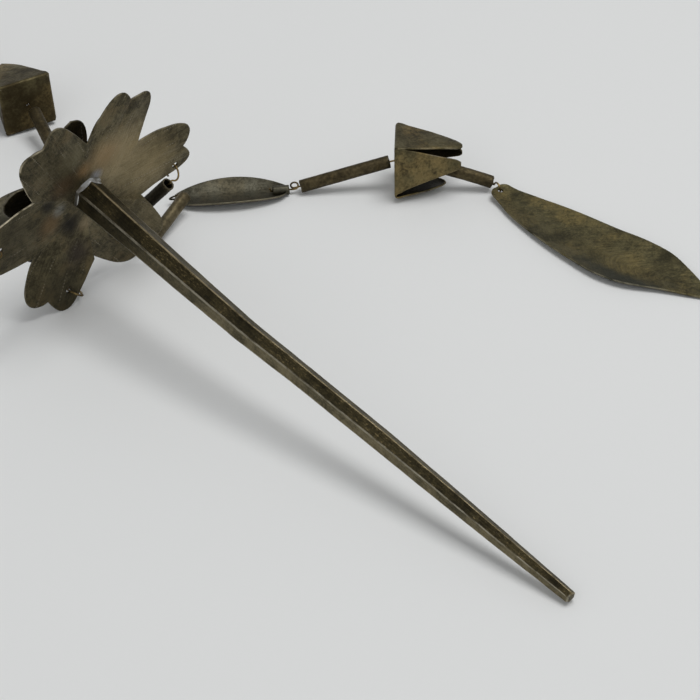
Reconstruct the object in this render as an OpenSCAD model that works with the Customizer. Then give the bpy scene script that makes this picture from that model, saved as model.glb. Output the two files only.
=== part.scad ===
// Hair stick with a two-layer flower and three strands of wired drops, lying on a table.
// X runs across the flower, the stick runs along Y with its tip at -Y, and Z = 0 is the table.

/* [Stick] */
// Length of the stick from the flower to its tip
stick_l = 150; // [130:1:160]
// Width across corners at the root
root_w = 8.1; // [6:0.1:9]
// Width across corners at the tip
tip_w = 2.8; // [2:0.1:4]
// Sideways bow about a third of the way along
stick_bow = 1.1; // [0:0.1:2]

/* [Flower] */
// Length of a back petal from the flower's centre
petal_l = 29.5; // [28:0.1:30]
// Length of a front petal from the flower's centre
front_petal_l = 20.4; // [18:0.2:22]
// Forward curl of a front petal at its tip
front_cup = 2.2; // [1:0.1:4]
// Thickness of the petal sheets
petal_t = 0.5; // [0.4:0.05:0.6]
// Distance between the middles of the two layers
layer_gap = 3.6; // [3.2:0.1:5]
// Diameter of the centre boss
boss_d = 8; // [6:0.5:10]

/* [Tubes and wires] */
// Outer diameter of the first two tubes on a strand
small_tube_d = 3.1; // [2.8:0.1:3.2]
// Outer diameter of the third tube and the curved tube
tube_d = 3.2; // [2.8:0.1:3.4]
// Thickness of the tubes' walls
tube_wall = 0.35; // [0.3:0.05:0.5]
// Bend radius of the curved tubes
curved_r = 150; // [140:5:160]
// Angle that a curved tube turns through
curved_turn = 8; // [7.5:0.1:8.5]
// Diameter of the wires
wire_d = 0.45; // [0.4:0.05:0.5]
// Radius of the rings through the petals
ring_r = 2.1; // [2:0.05:2.2]
// Radius of the small loops
loop_r = 1.3; // [1.2:0.05:1.35]
// Diameter of the pierced holes
hole_d = 1.3; // [1:0.1:1.4]

/* [Drops] */
// Width of a boat
boat_w = 10.6; // [8:0.1:11]
// Depth of a boat's dish
boat_h = 2.3; // [1.5:0.1:3]
// Outer diameter of a boat's rolled necks
neck_d = 2.4; // [2.2:0.1:2.6]
// Upward curl of a leaf's edges
leaf_cup = 1.3; // [0.5:0.1:2]
// Side of a bell's square base
bell_s = 14; // [13:0.1:15]
// Length of a bell's three long flaps
flap_l = 16.6; // [14:0.1:17]
// Length of a leaf
leaf_l = 66; // [55:1:68]
// Greatest width of a leaf
leaf_w = 18.8; // [12:0.1:19]
// Thickness of the sheet in boats, bells and leaves
drop_t = 0.5; // [0.4:0.05:0.6]

/* [Hidden] */
STRANDS = ["right", "lower", "left"];
PIECES = ["ring_wire", "first_tube", "link_wire", "second_tube", "boat",
          "thread_wire", "third_tube", "bell", "curved_tube", "leaf"];
$fn = 32;

// Middle of the object's outline on the table, which becomes the origin
centre = [37.2, 159.6, 0];
// Flower's middle, and how far above it the stick is soldered
flower = [-0.7, 147.2, 27.4];
root_up = 2.3;
// The flower leans back by the stick's slope
slope = 10.8;
// Turn of the stick's six corners about its axis
corner_turn = 25.8;
// Length of a boat's two necks, lift of its far rim, how gradually it comes to a point, radius of the
// curl of wire beside it
NECKS = [2, 4.2];
boat_tilt = 0.1;
boat_point = 0.52;
curl_r = 0.9;
// Share of a leaf's length that rises to its hole
leaf_rise = 0.2;
// Distance from a bell's base to the start of its curved tube
bell_gap = 4;
// Pitch of the curved tubes at their start
curved_pitch = 11.5;
// Clearance between pieces that touch in the real object
gap = 0.1;

// Share of the stick's length, share of the way from root to tip width, share of the bow
STICK_TAPER = [[0.014, 0, 0], [0.1, 0.15, 0.3], [0.22, 0.28, 0.7], [0.36, 0.44, 1], [0.48, 0.53, 0.55],
               [0.64, 0.57, 0.15], [0.79, 0.7, 0.1], [0.9, 0.84, 0.05], [1, 1, 0]];

// Solder at the root: height, width across corners, bow
FLARE = [[-0.1, root_w + 2.8, 0], [0.8, root_w + 0.9, 0], [1.8, root_w, 0]];

// Outline of a back petal: degrees off its middle, share of its length
BACK_OUTLINE = [[0, 0.925], [3.75, 0.97], [7.5, 1], [11.25, 0.985], [15, 0.92], [18.75, 0.82],
                [22.5, 0.73], [26.25, 0.65], [30, 0.59]];
// Each back petal: angle of its middle, share of the full length, bend toward the stick, growth of that
// bend from one side to the other
BACK_PETALS = [[67.5, 1, 0.8, 0], [122.5, 1.03, 1, 0], [186, 0.99, 0, 0], [243.5, 0.957, 3, 1.5],
               [311, 1.03, 1.5, 0.6], [365.5, 1.04, 0.8, 0]];
// Number of points across each back petal
back_steps = 16;
// Outline of a front petal: share of the half angle off its middle, share of its length
FRONT_OUTLINE = [[0, 1], [0.33, 0.97], [0.5, 0.93], [0.67, 0.86], [0.83, 0.74], [1, 0.58]];
front_count = 10;
front_turn = 22;
front_steps = 12;
// Diameter of the post that holds the front layer
post_d = 3;

// Columns of the strand table. Points are on tube axes, and holes are the middles of pierced holes.
HOLE = 0;       // hole in the petal
RING_AIM = 1;   // from that hole toward the far side of the ring
TUBE_1 = 2;     // both ends of the first tube
LINK_AIM = 3;   // from the first tube's loop toward the second tube's loop
TUBE_2 = 4;     // both ends of the second tube
BOAT = 5;       // outer ends of the boat's two necks
TUBE_3 = 6;     // both ends of the third tube
BELL = 7;       // middle of the bell's base
BELL_TURN = 8;  // roll, pitch and yaw of the bell
CURVED_YAW = 9;
LEAF_HOLE = 10;
LEAF_YAW = 11;
LAYOUT = [
    [[26.1, 147.4, 24.6], [-0.15, 0.1, -1], [[25.7, 149.1, 18.6], [20.6, 160.6, 3.8]], [-0.35, -0.94, 0],
     [[21.7, 152.4, 1.9], [38.3, 158, 4.8]], [[38.9, 162.7, 1.4], [61.7, 145.9, 1.4]],
     [[64.1, 144.5, 1.8], [81.5, 130.8, 7.5]], [82.4, 129.9, 7.75], [-5, -1, -47], -48.5,
     [97.7, 108.6, 1.8], -89.3],
    [[-6.4, 148.6, 4.3], [0.8, 0.1, -0.6], [[-2.6, 153.8, 1.9], [7.8, 165.9, 1.8]], [-0.1, 1, 0],
     [[7.7, 172.3, 1.8], [-6.8, 182.2, 1.8]], [[-4.3, 187, 1.4], [25, 185.3, 1.4]],
     [[26.4, 188.5, 1.8], [35, 211, 7]], [35.2, 213.6, 7.6], [-3.3, 4.3, 72.6], 73,
     [42.4, 241, 1.8], 77],
    [[-25.7, 147.5, 25.6], [-1, 0, 0], [[-31.2, 148.8, 20.3], [-28, 160, 3.6]], [0.1, 0.99, 0],
     [[-27.1, 166.2, 1.8], [-25.3, 184.2, 1.8]], [[-24.8, 188.1, 1.4], [-9.4, 213.2, 1.4]],
     [[-7.6, 216.2, 1.8], [3.4, 234.6, 7.4]], [4, 235.9, 7.75], [3, 0, 60], 62,
     [16.7, 260, 1.8], 66.2]
];

function unit(v) = v / norm(v);
function square_to(t) = unit(cross(t, abs(t.z) < 0.9 ? [0, 0, 1] : [1, 0, 0]));
function curve(a, b, c, d, n) =
    [for (i = [0:n]) let (t = i / n, s = 1 - t)
        s * s * s * a + 3 * s * s * t * b + 3 * s * t * t * c + t * t * t * d];
function headings(path) =
    [for (i = [0:len(path) - 1]) unit(path[min(i + 1, len(path) - 1)] - path[max(i - 1, 0)])];
function carry(heads, i, n) =
    i == len(heads) ? [] : let (u = unit(n - (n * heads[i]) * heads[i])) concat([u], carry(heads, i + 1, u));
function turned(yaw, pitch) = [cos(yaw) * cos(pitch), sin(yaw) * cos(pitch), -sin(pitch)];

// Solid round wire along a path
module wire(path, sides = 5) {
    heads = headings(path);
    sideways = carry(heads, 0, square_to(heads[0]));
    last = len(path) - 1;
    points = [for (i = [0:last]) for (j = [0:sides - 1]) let (turn = 360 * j / sides)
        path[i] + wire_d / 2 * (cos(turn) * sideways[i] + sin(turn) * cross(heads[i], sideways[i]))];
    walls = [for (i = [0:last - 1]) for (j = [0:sides - 1]) let (k = (j + 1) % sides)
        [i * sides + j, (i + 1) * sides + j, (i + 1) * sides + k, i * sides + k]];
    start = [for (j = [0:sides - 1]) j];
    end = [for (j = [sides - 1:-1:0]) last * sides + j];
    polyhedron(points, concat(walls, [start, end]), convexity = 6);
}

// Sheet of even thickness over a grid of points; a closed grid joins its last column to its first
module sheet(grid, t, closed = false) {
    a = len(grid);
    b = len(grid[0]);
    m = a * b;
    columns = closed ? b : b - 1;
    points = [for (h = [t / 2, -t / 2]) for (row = grid) for (p = row) p + [0, 0, h]];
    flats = [for (i = [0:a - 2]) for (j = [0:columns - 1]) for (f = [0, 1])
        let (k = (j + 1) % b, p = i * b + j, q = i * b + k, r = (i + 1) * b + k, s = (i + 1) * b + j)
        each [f == 0 ? [p, q, r] : [m + p, m + r, m + q], f == 0 ? [p, r, s] : [m + p, m + s, m + r]]];
    ends = [for (j = [0:columns - 1]) let (k = (j + 1) % b, o = (a - 1) * b)
        each [[j, m + j, m + k, k], [o + j, o + k, m + o + k, m + o + j]]];
    sides = closed ? [] : [for (i = [0:a - 2]) let (p = i * b, q = (i + 1) * b, o = b - 1)
        each [[p, q, m + q, m + p], [p + o, m + p + o, m + q + o, q + o]]];
    polyhedron(points, concat(flats, ends, sides), convexity = 6);
}

// Puts a shape into the flower's own frame, with Z along the stick and Y up
module on_flower() {
    translate(flower) rotate([90 + slope, 0, 0]) children();
}

function petal_middle(k) = BACK_PETALS[(k + 6) % 6][0] + 360 * floor(k / 6);
// Half of the angle that a petal fills on one side
function petal_reach(k, off) = abs(petal_middle(k + sign(off)) - petal_middle(k)) / 2;
function back_length(k, off) = petal_l * BACK_PETALS[k][1] * lookup(abs(off), BACK_OUTLINE);
function back_lift(k, off, r) = (BACK_PETALS[k][2] + BACK_PETALS[k][3] * off / 10) * pow(r / petal_l, 2);
function back_grid() =
    [for (i = [0:5]) [for (k = [0:5]) for (j = [0:back_steps - 1])
        let (off = 60 * (j / back_steps - 0.5), r = 1 + (back_length(k, off) - 1) * i / 5,
             a = petal_middle(k) + off / 30 * petal_reach(k, off))
        [r * cos(a), r * sin(a), back_lift(k, off, r)]]];
function front_lift(r) =
    -layer_gap - front_cup * pow(max(0, r - boss_d / 2) / (front_petal_l - boss_d / 2), 1.6);
function front_grid() =
    let (room = 180 / front_count, inner = post_d / 2 + gap)
    [for (i = [0:4]) [for (k = [0:front_count - 1]) for (j = [0:front_steps - 1])
        let (off = 2 * j / front_steps - 1, a = front_turn + room * (2 * k + off),
             r = inner + (front_petal_l * lookup(abs(off), FRONT_OUTLINE) - inner) * i / 4)
        [r * cos(a), r * sin(a), front_lift(r)]]];

// Six-sided tapered rod with a solder flare at its foot
module stick() {
    body = [for (s = STICK_TAPER) [s[0] * stick_l, root_w + (tip_w - root_w) * s[1], -stick_bow * s[2]]];
    stations = concat(FLARE, body);
    points = [for (s = stations) for (j = [0:5])
        [s[1] / 2 * cos(corner_turn + 60 * j) + s[2], s[1] / 2 * sin(corner_turn + 60 * j), s[0]]];
    last = len(stations) - 1;
    walls = [for (i = [0:last - 1]) for (j = [0:5]) let (k = (j + 1) % 6, p = 6 * i, q = 6 * i + 6)
        each [[p + j, q + j, q + k], [p + j, q + k, p + k]]];
    ends = [[0, 1, 2, 3, 4, 5], [for (j = [5:-1:0]) 6 * last + j]];
    translate([0, root_up, 0]) polyhedron(points, concat(walls, ends), convexity = 2);
}

// Spacer, post and domed head that hold the front layer
module centre_post() {
    spacer_end = layer_gap - petal_t / 2 - gap;
    head = layer_gap + petal_t / 2 + gap;
    mirror([0, 0, 1]) {
        cylinder(h = spacer_end, d = 2.2 * post_d);
        cylinder(h = head + 1, d = post_d - gap);
        translate([0, 0, head]) intersection() {
            translate([0, 0, boss_d * 0.3 - boss_d / 2]) sphere(d = boss_d * 1.1);
            cylinder(h = boss_d, d = boss_d);
        }
    }
}

function in_flower(p) = let (v = p - flower) [v.x, -v.y * sin(slope) + v.z * cos(slope)];

module pin() {
    color("darkolivegreen") on_flower() {
        stick();
        centre_post();
        difference() {
            sheet(back_grid(), petal_t, closed = true);
            for (s = LAYOUT) translate(in_flower(s[HOLE])) cylinder(h = 20, d = hole_d, center = true);
        }
    }
}

module front_petals() {
    color("dimgray") on_flower() sheet(front_grid(), petal_t, closed = true);
}

// Straight tube between two points
module tube(ends, d) {
    run = ends[1] - ends[0];
    translate(ends[0])
        rotate([0, acos(run.z / norm(run)), atan2(run.y, run.x)])
            difference() {
                cylinder(h = norm(run), d = d);
                translate([0, 0, -1]) cylinder(h = norm(run) + 2, d = d - 2 * tube_wall);
            }
}

function curved_start(s) = s[BELL] + bell_gap * turned(s[BELL_TURN].z, s[BELL_TURN].y);
function curved_point(s, a) =
    let (f = curved_r * sin(a), d = curved_r * (1 - cos(a)), p = curved_pitch, y = s[CURVED_YAW],
         x = f * cos(p) - d * sin(p), z = -f * sin(p) - d * cos(p))
    curved_start(s) + [x * cos(y), x * sin(y), z];

module curved_tube(s) {
    color("darkolivegreen")
        translate(curved_start(s)) rotate([0, curved_pitch, s[CURVED_YAW]])
            translate([0, 0, -curved_r]) rotate([90, 0, 0]) rotate([0, 0, 90 - curved_turn])
                rotate_extrude(angle = curved_turn, $fn = 64) translate([curved_r, 0]) difference() {
                    circle(d = tube_d);
                    circle(d = tube_d - 2 * tube_wall);
                }
}

// Hook of wire: middle, direction toward its stem, direction square to that in its plane, radius
function hook_foot(c, m, r) = c + (r + 0.5) * m;
function hook(c, m, k, r) =
    let (at = c + r * (cos(50) * m + sin(50) * k), way = -sin(50) * m + cos(50) * k)
    concat(curve(hook_foot(c, m, r), hook_foot(c, m, r) - 0.5 * m, at - 0.4 * r * way, at, 3),
           [for (a = [85:35:330]) c + r * (cos(a) * m + sin(a) * k)]);
function backward(list) = [for (i = [len(list) - 1:-1:0]) list[i]];
// Bend of wire from a hook's foot into a tube's mouth
function bend(foot, m, mouth, inward) =
    let (reach = norm(mouth - foot) / 2.5,
         path = curve(foot, foot + reach * m, mouth - reach * inward, mouth + 2 * inward, 6))
    [for (i = [1:6]) path[i]];

function way_1(s) = unit(s[TUBE_1][1] - s[TUBE_1][0]);
function loop_1(s) = s[TUBE_1][1] + (loop_r + 0.5) * way_1(s);
function link_aim(s) = unit(s[LINK_AIM]);
function loop_side(s) = unit(cross(way_1(s), link_aim(s)));
function ring_side(s) = unit(cross(s[RING_AIM], cross([0, -1, 0], s[RING_AIM])));

module ring_wire(s) {
    m = unit(s[RING_AIM]);
    c = s[HOLE] + ring_r * m;
    back = -way_1(s);
    across = unit(cross(loop_side(s), back));
    color("peru") wire(concat(backward(hook(c, m, ring_side(s), ring_r)),
                              bend(hook_foot(c, m, ring_r), m, s[TUBE_1][0], -back),
                              backward(bend(hook_foot(loop_1(s), back, loop_r), back, s[TUBE_1][1], back)),
                              hook(loop_1(s), back, across, loop_r)));
}

// Direction along the boat, and the tail of wire that is bent up inside one of its necks
function boat_way(s) = unit(s[BOAT][1] - s[BOAT][0]);
function tail(mouth, inward, neck) =
    [mouth + (neck + 0.7) * inward + [0, 0, 0.8], mouth + (neck + 0.4) * inward, mouth + inward];
// One full turn of wire that stands on its edge
function curl(foot, way, r) =
    [for (a = [0:36:360])
        foot + r * sin(a) * way + [0, 0, r * (1 - cos(a))] + a / 600 * cross([0, 0, 1], way)];

module link_wire(s) {
    m = link_aim(s);
    way = unit(s[TUBE_2][1] - s[TUBE_2][0]);
    c = loop_1(s) + loop_r * m;
    mouth = s[BOAT][0];
    onward = boat_way(s);
    last_run = concat([s[TUBE_2][1] - way],
                      curve(s[TUBE_2][1] + 0.8 * way, s[TUBE_2][1] + 2.4 * way, mouth - 3.6 * onward,
                            mouth - 0.4 * onward, 9));
    color("peru") wire(concat(backward(hook(c, m, loop_side(s), loop_r)),
                              bend(hook_foot(c, m, loop_r), m, s[TUBE_2][0], way),
                              last_run, backward(tail(mouth, onward, NECKS[0]))));
}

module thread_wire(s) {
    back = -boat_way(s);
    mouth = s[BOAT][1];
    way = unit(s[TUBE_3][1] - s[TUBE_3][0]);
    end = curved_point(s, curved_turn);
    leaf_out = let (v = end - s[LEAF_HOLE]) unit([v.x, v.y, 0]);
    path = concat(tail(mouth, back, NECKS[1]), curl(mouth - 1.3 * back, -back, curl_r),
                  [s[TUBE_3][0] + 2 * way, s[TUBE_3][1] - way, s[BELL]],
                  [for (i = [0:5]) curved_point(s, curved_turn * i / 5)],
                  hook(s[LEAF_HOLE] + loop_r * leaf_out, leaf_out, [0, 0, 1], loop_r));
    color("peru") wire(path);
}

// Dished drop with a rolled neck at each end
module boat(s) {
    run = s[BOAT][1] - s[BOAT][0];
    half = norm(run) / 2;
    steps = 14;
    end_w = 0.7;
    floor_z = 0.1 + drop_t / 2 - s[BOAT][0].z;
    grid = [for (i = [0:steps])
        let (x = (2 * i / steps - 1) * (half - 0.6), room = half - (x < 0 ? 0.4 : 0.8),
             w = abs(x) >= room ? 0 : pow(cos(90 * abs(x) / room), boat_point))
        [for (j = [-2:2]) let (v = j / 2)
            [x, v * (end_w + (boat_w / 2 - end_w) * w), (boat_h * v * v + boat_tilt * v) * w + floor_z]]];
    color("gray") translate(s[BOAT][0]) rotate([0, 0, atan2(run.y, run.x)]) translate([half, 0, 0])
        difference() {
            union() {
                sheet(grid, drop_t);
                for (i = [0, 1]) let (e = 2 * i - 1) translate([e * half, 0, 0]) rotate([0, -90 * e, 0])
                    cylinder(h = NECKS[i], d = neck_d);
            }
            for (i = [0, 1]) let (e = 2 * i - 1) translate([e * (half + 1), 0, 0]) rotate([0, -90 * e, 0])
                cylinder(h = NECKS[i] + 1.6, d = neck_d - 1.1);
        }
}

// Share of a flap's length, half width as a share of the bell's side
FLAP_OUTLINE = [[0, 0.5], [0.25, 0.42], [0.5, 0.33], [0.7, 0.25], [0.85, 0.185], [0.94, 0.13],
                [0.985, 0.07], [1, 0.02]];
// For the top, near, bottom and far flap: the angle it leans in, its share of the full length, and how
// much its lower side is cut back
FLAP_LEAN = [9, 14, 3, 9];
FLAP_SHARE = [1, 1, 0.75, 1];
FLAP_CUT = [0, 0.36, 0, 0.36];

function flap_outline(i) =
    let (long = FLAP_SHARE[i] * flap_l, low = i == 3 ? 1 : -1,
         upper = [for (p = FLAP_OUTLINE) [p[0] * long, -low * p[1] * bell_s]],
         lower = [for (p = FLAP_OUTLINE)
             [p[0] * long, low * p[1] * bell_s * (1 - FLAP_CUT[i] * (0.5 + p[0]))]])
    concat(upper, backward(lower));

module bell(s) {
    color("darkkhaki") translate(s[BELL]) rotate(s[BELL_TURN]) {
        difference() {
            translate([drop_t / 2, 0, 0]) cube([drop_t, bell_s, bell_s], center = true);
            translate([-1, 0, 0]) rotate([0, 90, 0]) cylinder(h = 3, d = hole_d);
        }
        for (i = [0:3])
            rotate([90 * i, 0, 0]) translate([0, 0, bell_s / 2 - drop_t]) rotate([0, FLAP_LEAN[i], 0])
                linear_extrude(drop_t) polygon(flap_outline(i));
    }
}

// Share of a leaf's length, share of its width
LEAF_OUTLINE = [[0, 0.29], [0.04, 0.33], [0.14, 0.54], [0.3, 0.77], [0.5, 0.93], [0.62, 1], [0.72, 0.92],
                [0.84, 0.56], [0.93, 0.27], [1, 0.02]];
// Share of a leaf's length, sideways bend of its middle
LEAF_BEND = [[0, 0], [0.2, -0.7], [0.68, -0.5], [0.84, 1.4], [1, 2.2]];

module leaf(s) {
    steps = 20;
    start = 1.4;
    rise = s[LEAF_HOLE].z - drop_t / 2 - 0.1;
    grid = [for (i = [0:steps])
        let (u = i / steps, w = lookup(u, LEAF_OUTLINE), bend = lookup(u, LEAF_BEND),
             middle = rise * pow(max(0, 1 - u / leaf_rise), 2) - rise)
        [for (j = [-2:2]) let (v = j / 2)
            [u * leaf_l - start, bend + v * leaf_w / 2 * w, middle + leaf_cup * v * v * w]]];
    color("olivedrab") translate(s[LEAF_HOLE]) rotate([0, 0, s[LEAF_YAW]]) difference() {
        sheet(grid, drop_t);
        cylinder(h = 10, d = hole_d, center = true);
    }
}

module strand_piece(s, piece) {
    if (piece == "ring_wire") ring_wire(s);
    if (piece == "first_tube") color("saddlebrown") tube(s[TUBE_1], small_tube_d);
    if (piece == "link_wire") link_wire(s);
    if (piece == "second_tube") color("saddlebrown") tube(s[TUBE_2], small_tube_d);
    if (piece == "boat") boat(s);
    if (piece == "thread_wire") thread_wire(s);
    if (piece == "third_tube") color("saddlebrown") tube(s[TUBE_3], tube_d);
    if (piece == "bell") bell(s);
    if (piece == "curved_tube") curved_tube(s);
    if (piece == "leaf") leaf(s);
}

translate(-centre) pin();
translate(-centre) front_petals();
for (i = [0:2]) for (p = PIECES)
    translate(-centre) strand_piece(LAYOUT[i], p);
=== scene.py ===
"""Hair stick with a two-layer sheet flower and three strands of wired drops, lying on a pale table.

Sizes in this file are in millimetres until a mesh is made, and every mesh is in metres in the row's frame.
"""

import math

import bmesh
import bpy
import numpy as np
from bpy.props import FloatProperty, FloatVectorProperty, IntProperty, PointerProperty
from mathutils import Matrix, Vector, noise


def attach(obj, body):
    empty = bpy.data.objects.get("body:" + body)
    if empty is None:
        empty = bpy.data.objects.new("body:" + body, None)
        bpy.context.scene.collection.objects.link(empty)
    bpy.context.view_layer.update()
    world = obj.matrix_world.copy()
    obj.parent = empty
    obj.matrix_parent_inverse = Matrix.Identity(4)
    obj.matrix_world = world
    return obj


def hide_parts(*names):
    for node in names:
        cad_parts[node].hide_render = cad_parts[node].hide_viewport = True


bl_info = {
    "name": "Hair stick with strands",
    "version": (1, 0, 0),
    "blender": (4, 5, 0),
    "location": "View3D > Sidebar > Hair stick",
    "description": "Makes a patinated metal hair stick with a flower and three strands of drops",
    "category": "Add Mesh",
}

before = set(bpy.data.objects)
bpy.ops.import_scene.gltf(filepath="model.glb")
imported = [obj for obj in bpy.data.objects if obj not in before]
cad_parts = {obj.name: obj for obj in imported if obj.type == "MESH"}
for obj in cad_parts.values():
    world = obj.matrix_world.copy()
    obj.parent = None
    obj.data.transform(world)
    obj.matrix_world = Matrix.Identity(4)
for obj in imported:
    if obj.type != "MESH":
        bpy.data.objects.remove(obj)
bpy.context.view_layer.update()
MM = 0.001
Z_AXIS = np.array([0, 0, 1.0])

# The middle of the whole piece on the table, which is the frame's origin, and the middle of the back petals
CENTRE = np.array([37.2, 159.6, 0.0])
FLOWER = np.array([-0.7, 147.2, 27.4])
# Angle at which the stick falls toward its tip, and height of its root above the flower's middle
SLOPE = math.radians(10.8)
ROOT_UP = 2.3
STICK_LENGTH = 150.0
ROOT_WIDTH = 8.1
TIP_WIDTH = 2.8
CORNER_TURN = 25.8
STICK_BOW = 1.1
# Degrees from a corner at which one face of the stick has its points
FACE_STEPS = (0, 1.5, 3.5, 6.5, 11, 18, 24, 30, 36, 42, 49, 53.5, 56.5, 58.5)
# Share of the stick's length, share of the way from root to tip width, share of the bow
STICK_TAPER = np.array([
    (0, 0, 0), (0.014, 0, 0), (0.1, 0.15, 0.3), (0.22, 0.28, 0.7), (0.36, 0.44, 1), (0.48, 0.53, 0.55),
    (0.64, 0.57, 0.15), (0.79, 0.7, 0.1), (0.9, 0.84, 0.05), (1, 1, 0)])
# The solder's section, from its foot to inside the stick: height, distance outside the stick's faces
SOLDER_SECTION = ((0.06, 0.6), (0.14, 0.57), (0.26, 0.45), (0.42, 0.3), (0.62, 0.17), (0.9, 0.04),
                  (1.2, -0.1), (1.2, -1.2))

PETAL_LENGTH = 29.5
BACK_START = 0.8
# Degrees off a back petal's middle, share of its length
BACK_OUTLINE = np.array([
    (0, 0.925), (3.75, 0.97), (7.5, 1), (11.25, 0.985), (15, 0.92), (18.75, 0.82), (22.5, 0.73),
    (26.25, 0.65), (30, 0.59)])
# Each back petal: angle of its middle, share of the full length, bend toward the stick, growth of that bend
BACK_PETALS = [(67.5, 1, 0.8, 0), (122.5, 1.03, 1, 0), (186, 0.99, 0, 0), (243.5, 0.957, 3, 1.5),
               (311, 1.03, 1.5, 0.6), (365.5, 1.04, 0.8, 0)]
FRONT_LENGTH = 20.4
FRONT_CUP = 2.2
FRONT_TURN = 22.0
FRONT_OUTLINE = np.array([(0, 1), (0.33, 0.97), (0.5, 0.93), (0.67, 0.86), (0.83, 0.74), (1, 0.58)])
LAYER_GAP = 3.6
BOSS_WIDTH = 8.0
BOSS_DOME = 2.7
SPACER_WIDTH = 6.6
POST_WIDTH = 3.0

SMALL_TUBE = 3.1
TUBE = 3.2
CURVED_RADIUS = 150.0
CURVED_TURN = 8.0
CURVED_PITCH = 11.5
BELL_GAP = 4.0
RING_RADIUS = 2.1
LOOP_RADIUS = 1.3
CURL_RADIUS = 0.9
# Length of the straight wire beside a loop, and the degrees from that stem between which a loop's wire runs
LOOP_STEM = 0.5
LOOP_SPAN = (50, 330)
LEAF_HOLE = 1.3
BELL_HOLE = 0.75
# The petals' holes have worn wider, and the wires lie against their lower edge
PETAL_HOLE = 1.6
HOLE_SHIFT = (-0.2, 0.4, 0)
# Width of the narrow faces beside a rim, where the wear shows
RIM_STEP = 0.35
# Heights above the table: a drop's under side, and the least of the petals
TABLE_GAP = 0.1
PETAL_GAP = 0.06

BOAT_WIDTH = 10.6
BOAT_DEPTH = 2.3
# Power that makes a boat's outline blunt, and how far its ends curl up into the necks
BOAT_POINT = 0.52
BOAT_CURL = 1.5
NECK_WIDTH = 2.4
NECK_WALL = 0.5
NECKS = (2.0, 4.2)
BELL_SIDE = 14.0
BELL_FOLD = 0.5
FLAP_LENGTH = 16.6
FLAP_OUTLINE = np.array([
    (0, 0.5), (0.25, 0.42), (0.5, 0.33), (0.7, 0.25), (0.85, 0.185), (0.94, 0.13), (0.985, 0.07),
    (1, 0.02)])
# For the top, near, bottom and far flap: lean, share of the full length, cut on its lower side, swell
FLAPS = ((9, 1, 0, -1, 0.35), (14, 1, 0.36, -1, 0.6), (3, 0.75, 0, -1, 0.35), (9, 1, 0.36, 1, 0.35))
LEAF_LENGTH = 66.0
LEAF_WIDTH = 18.8
LEAF_CUP = 1.3
# Distance from a leaf's stem end to its hole
LEAF_BACK = 1.4
# Share of a leaf's length, share of its width
LEAF_OUTLINE = np.array([
    (0, 0.29), (0.04, 0.33), (0.14, 0.54), (0.3, 0.77), (0.5, 0.93), (0.62, 1), (0.72, 0.92),
    (0.84, 0.56), (0.93, 0.27), (1, 0.02)])
# Share of a leaf's length, sideways bend of its middle
LEAF_BEND = np.array([(0, 0), (0.2, -0.7), (0.68, -0.5), (0.84, 1.4), (1, 2.2)])

# Where each strand lies. Points are on tube axes, and holes are the middles of pierced holes.
STRANDS = {
    "right": {
        "hole": (26.1, 147.4, 24.6), "ring_aim": (-0.15, 0.1, -1),
        "tube_1": ((25.7, 149.1, 18.6), (20.6, 160.6, 3.8)), "link_aim": (-0.35, -0.94, 0),
        "tube_2": ((21.7, 152.4, 1.9), (38.3, 158, 4.8)),
        "boat": ((38.9, 162.7, 1.4), (61.7, 145.9, 1.4)),
        "tube_3": ((64.1, 144.5, 1.8), (81.5, 130.8, 7.5)), "bell": (82.4, 129.9, 7.75),
        "bell_turn": (-5, -1, -47), "curved_yaw": -48.5,
        "leaf_hole": (97.7, 108.6, 1.8), "leaf_yaw": -89.3},
    "lower": {
        "hole": (-6.4, 148.6, 4.3), "ring_aim": (0.8, 0.1, -0.6),
        "tube_1": ((-2.6, 153.8, 1.9), (7.8, 165.9, 1.8)), "link_aim": (-0.1, 1, 0),
        "tube_2": ((7.7, 172.3, 1.8), (-6.8, 182.2, 1.8)),
        "boat": ((-4.3, 187, 1.4), (25, 185.3, 1.4)),
        "tube_3": ((26.4, 188.5, 1.8), (35, 211, 7)), "bell": (35.2, 213.6, 7.6),
        "bell_turn": (-3.3, 4.3, 72.6), "curved_yaw": 73,
        "leaf_hole": (42.4, 241, 1.8), "leaf_yaw": 77},
    "left": {
        "hole": (-25.7, 147.5, 25.6), "ring_aim": (-1, 0, 0),
        "tube_1": ((-31.2, 148.8, 20.3), (-28, 160, 3.6)), "link_aim": (0.1, 0.99, 0),
        "tube_2": ((-27.1, 166.2, 1.8), (-25.3, 184.2, 1.8)),
        "boat": ((-24.8, 188.1, 1.4), (-9.4, 213.2, 1.4)),
        "tube_3": ((-7.6, 216.2, 1.8), (3.4, 234.6, 7.4)), "bell": (4, 235.9, 7.75),
        "bell_turn": (3, 0, 60), "curved_yaw": 62,
        "leaf_hole": (16.7, 260, 1.8), "leaf_yaw": 66.2},
}

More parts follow.
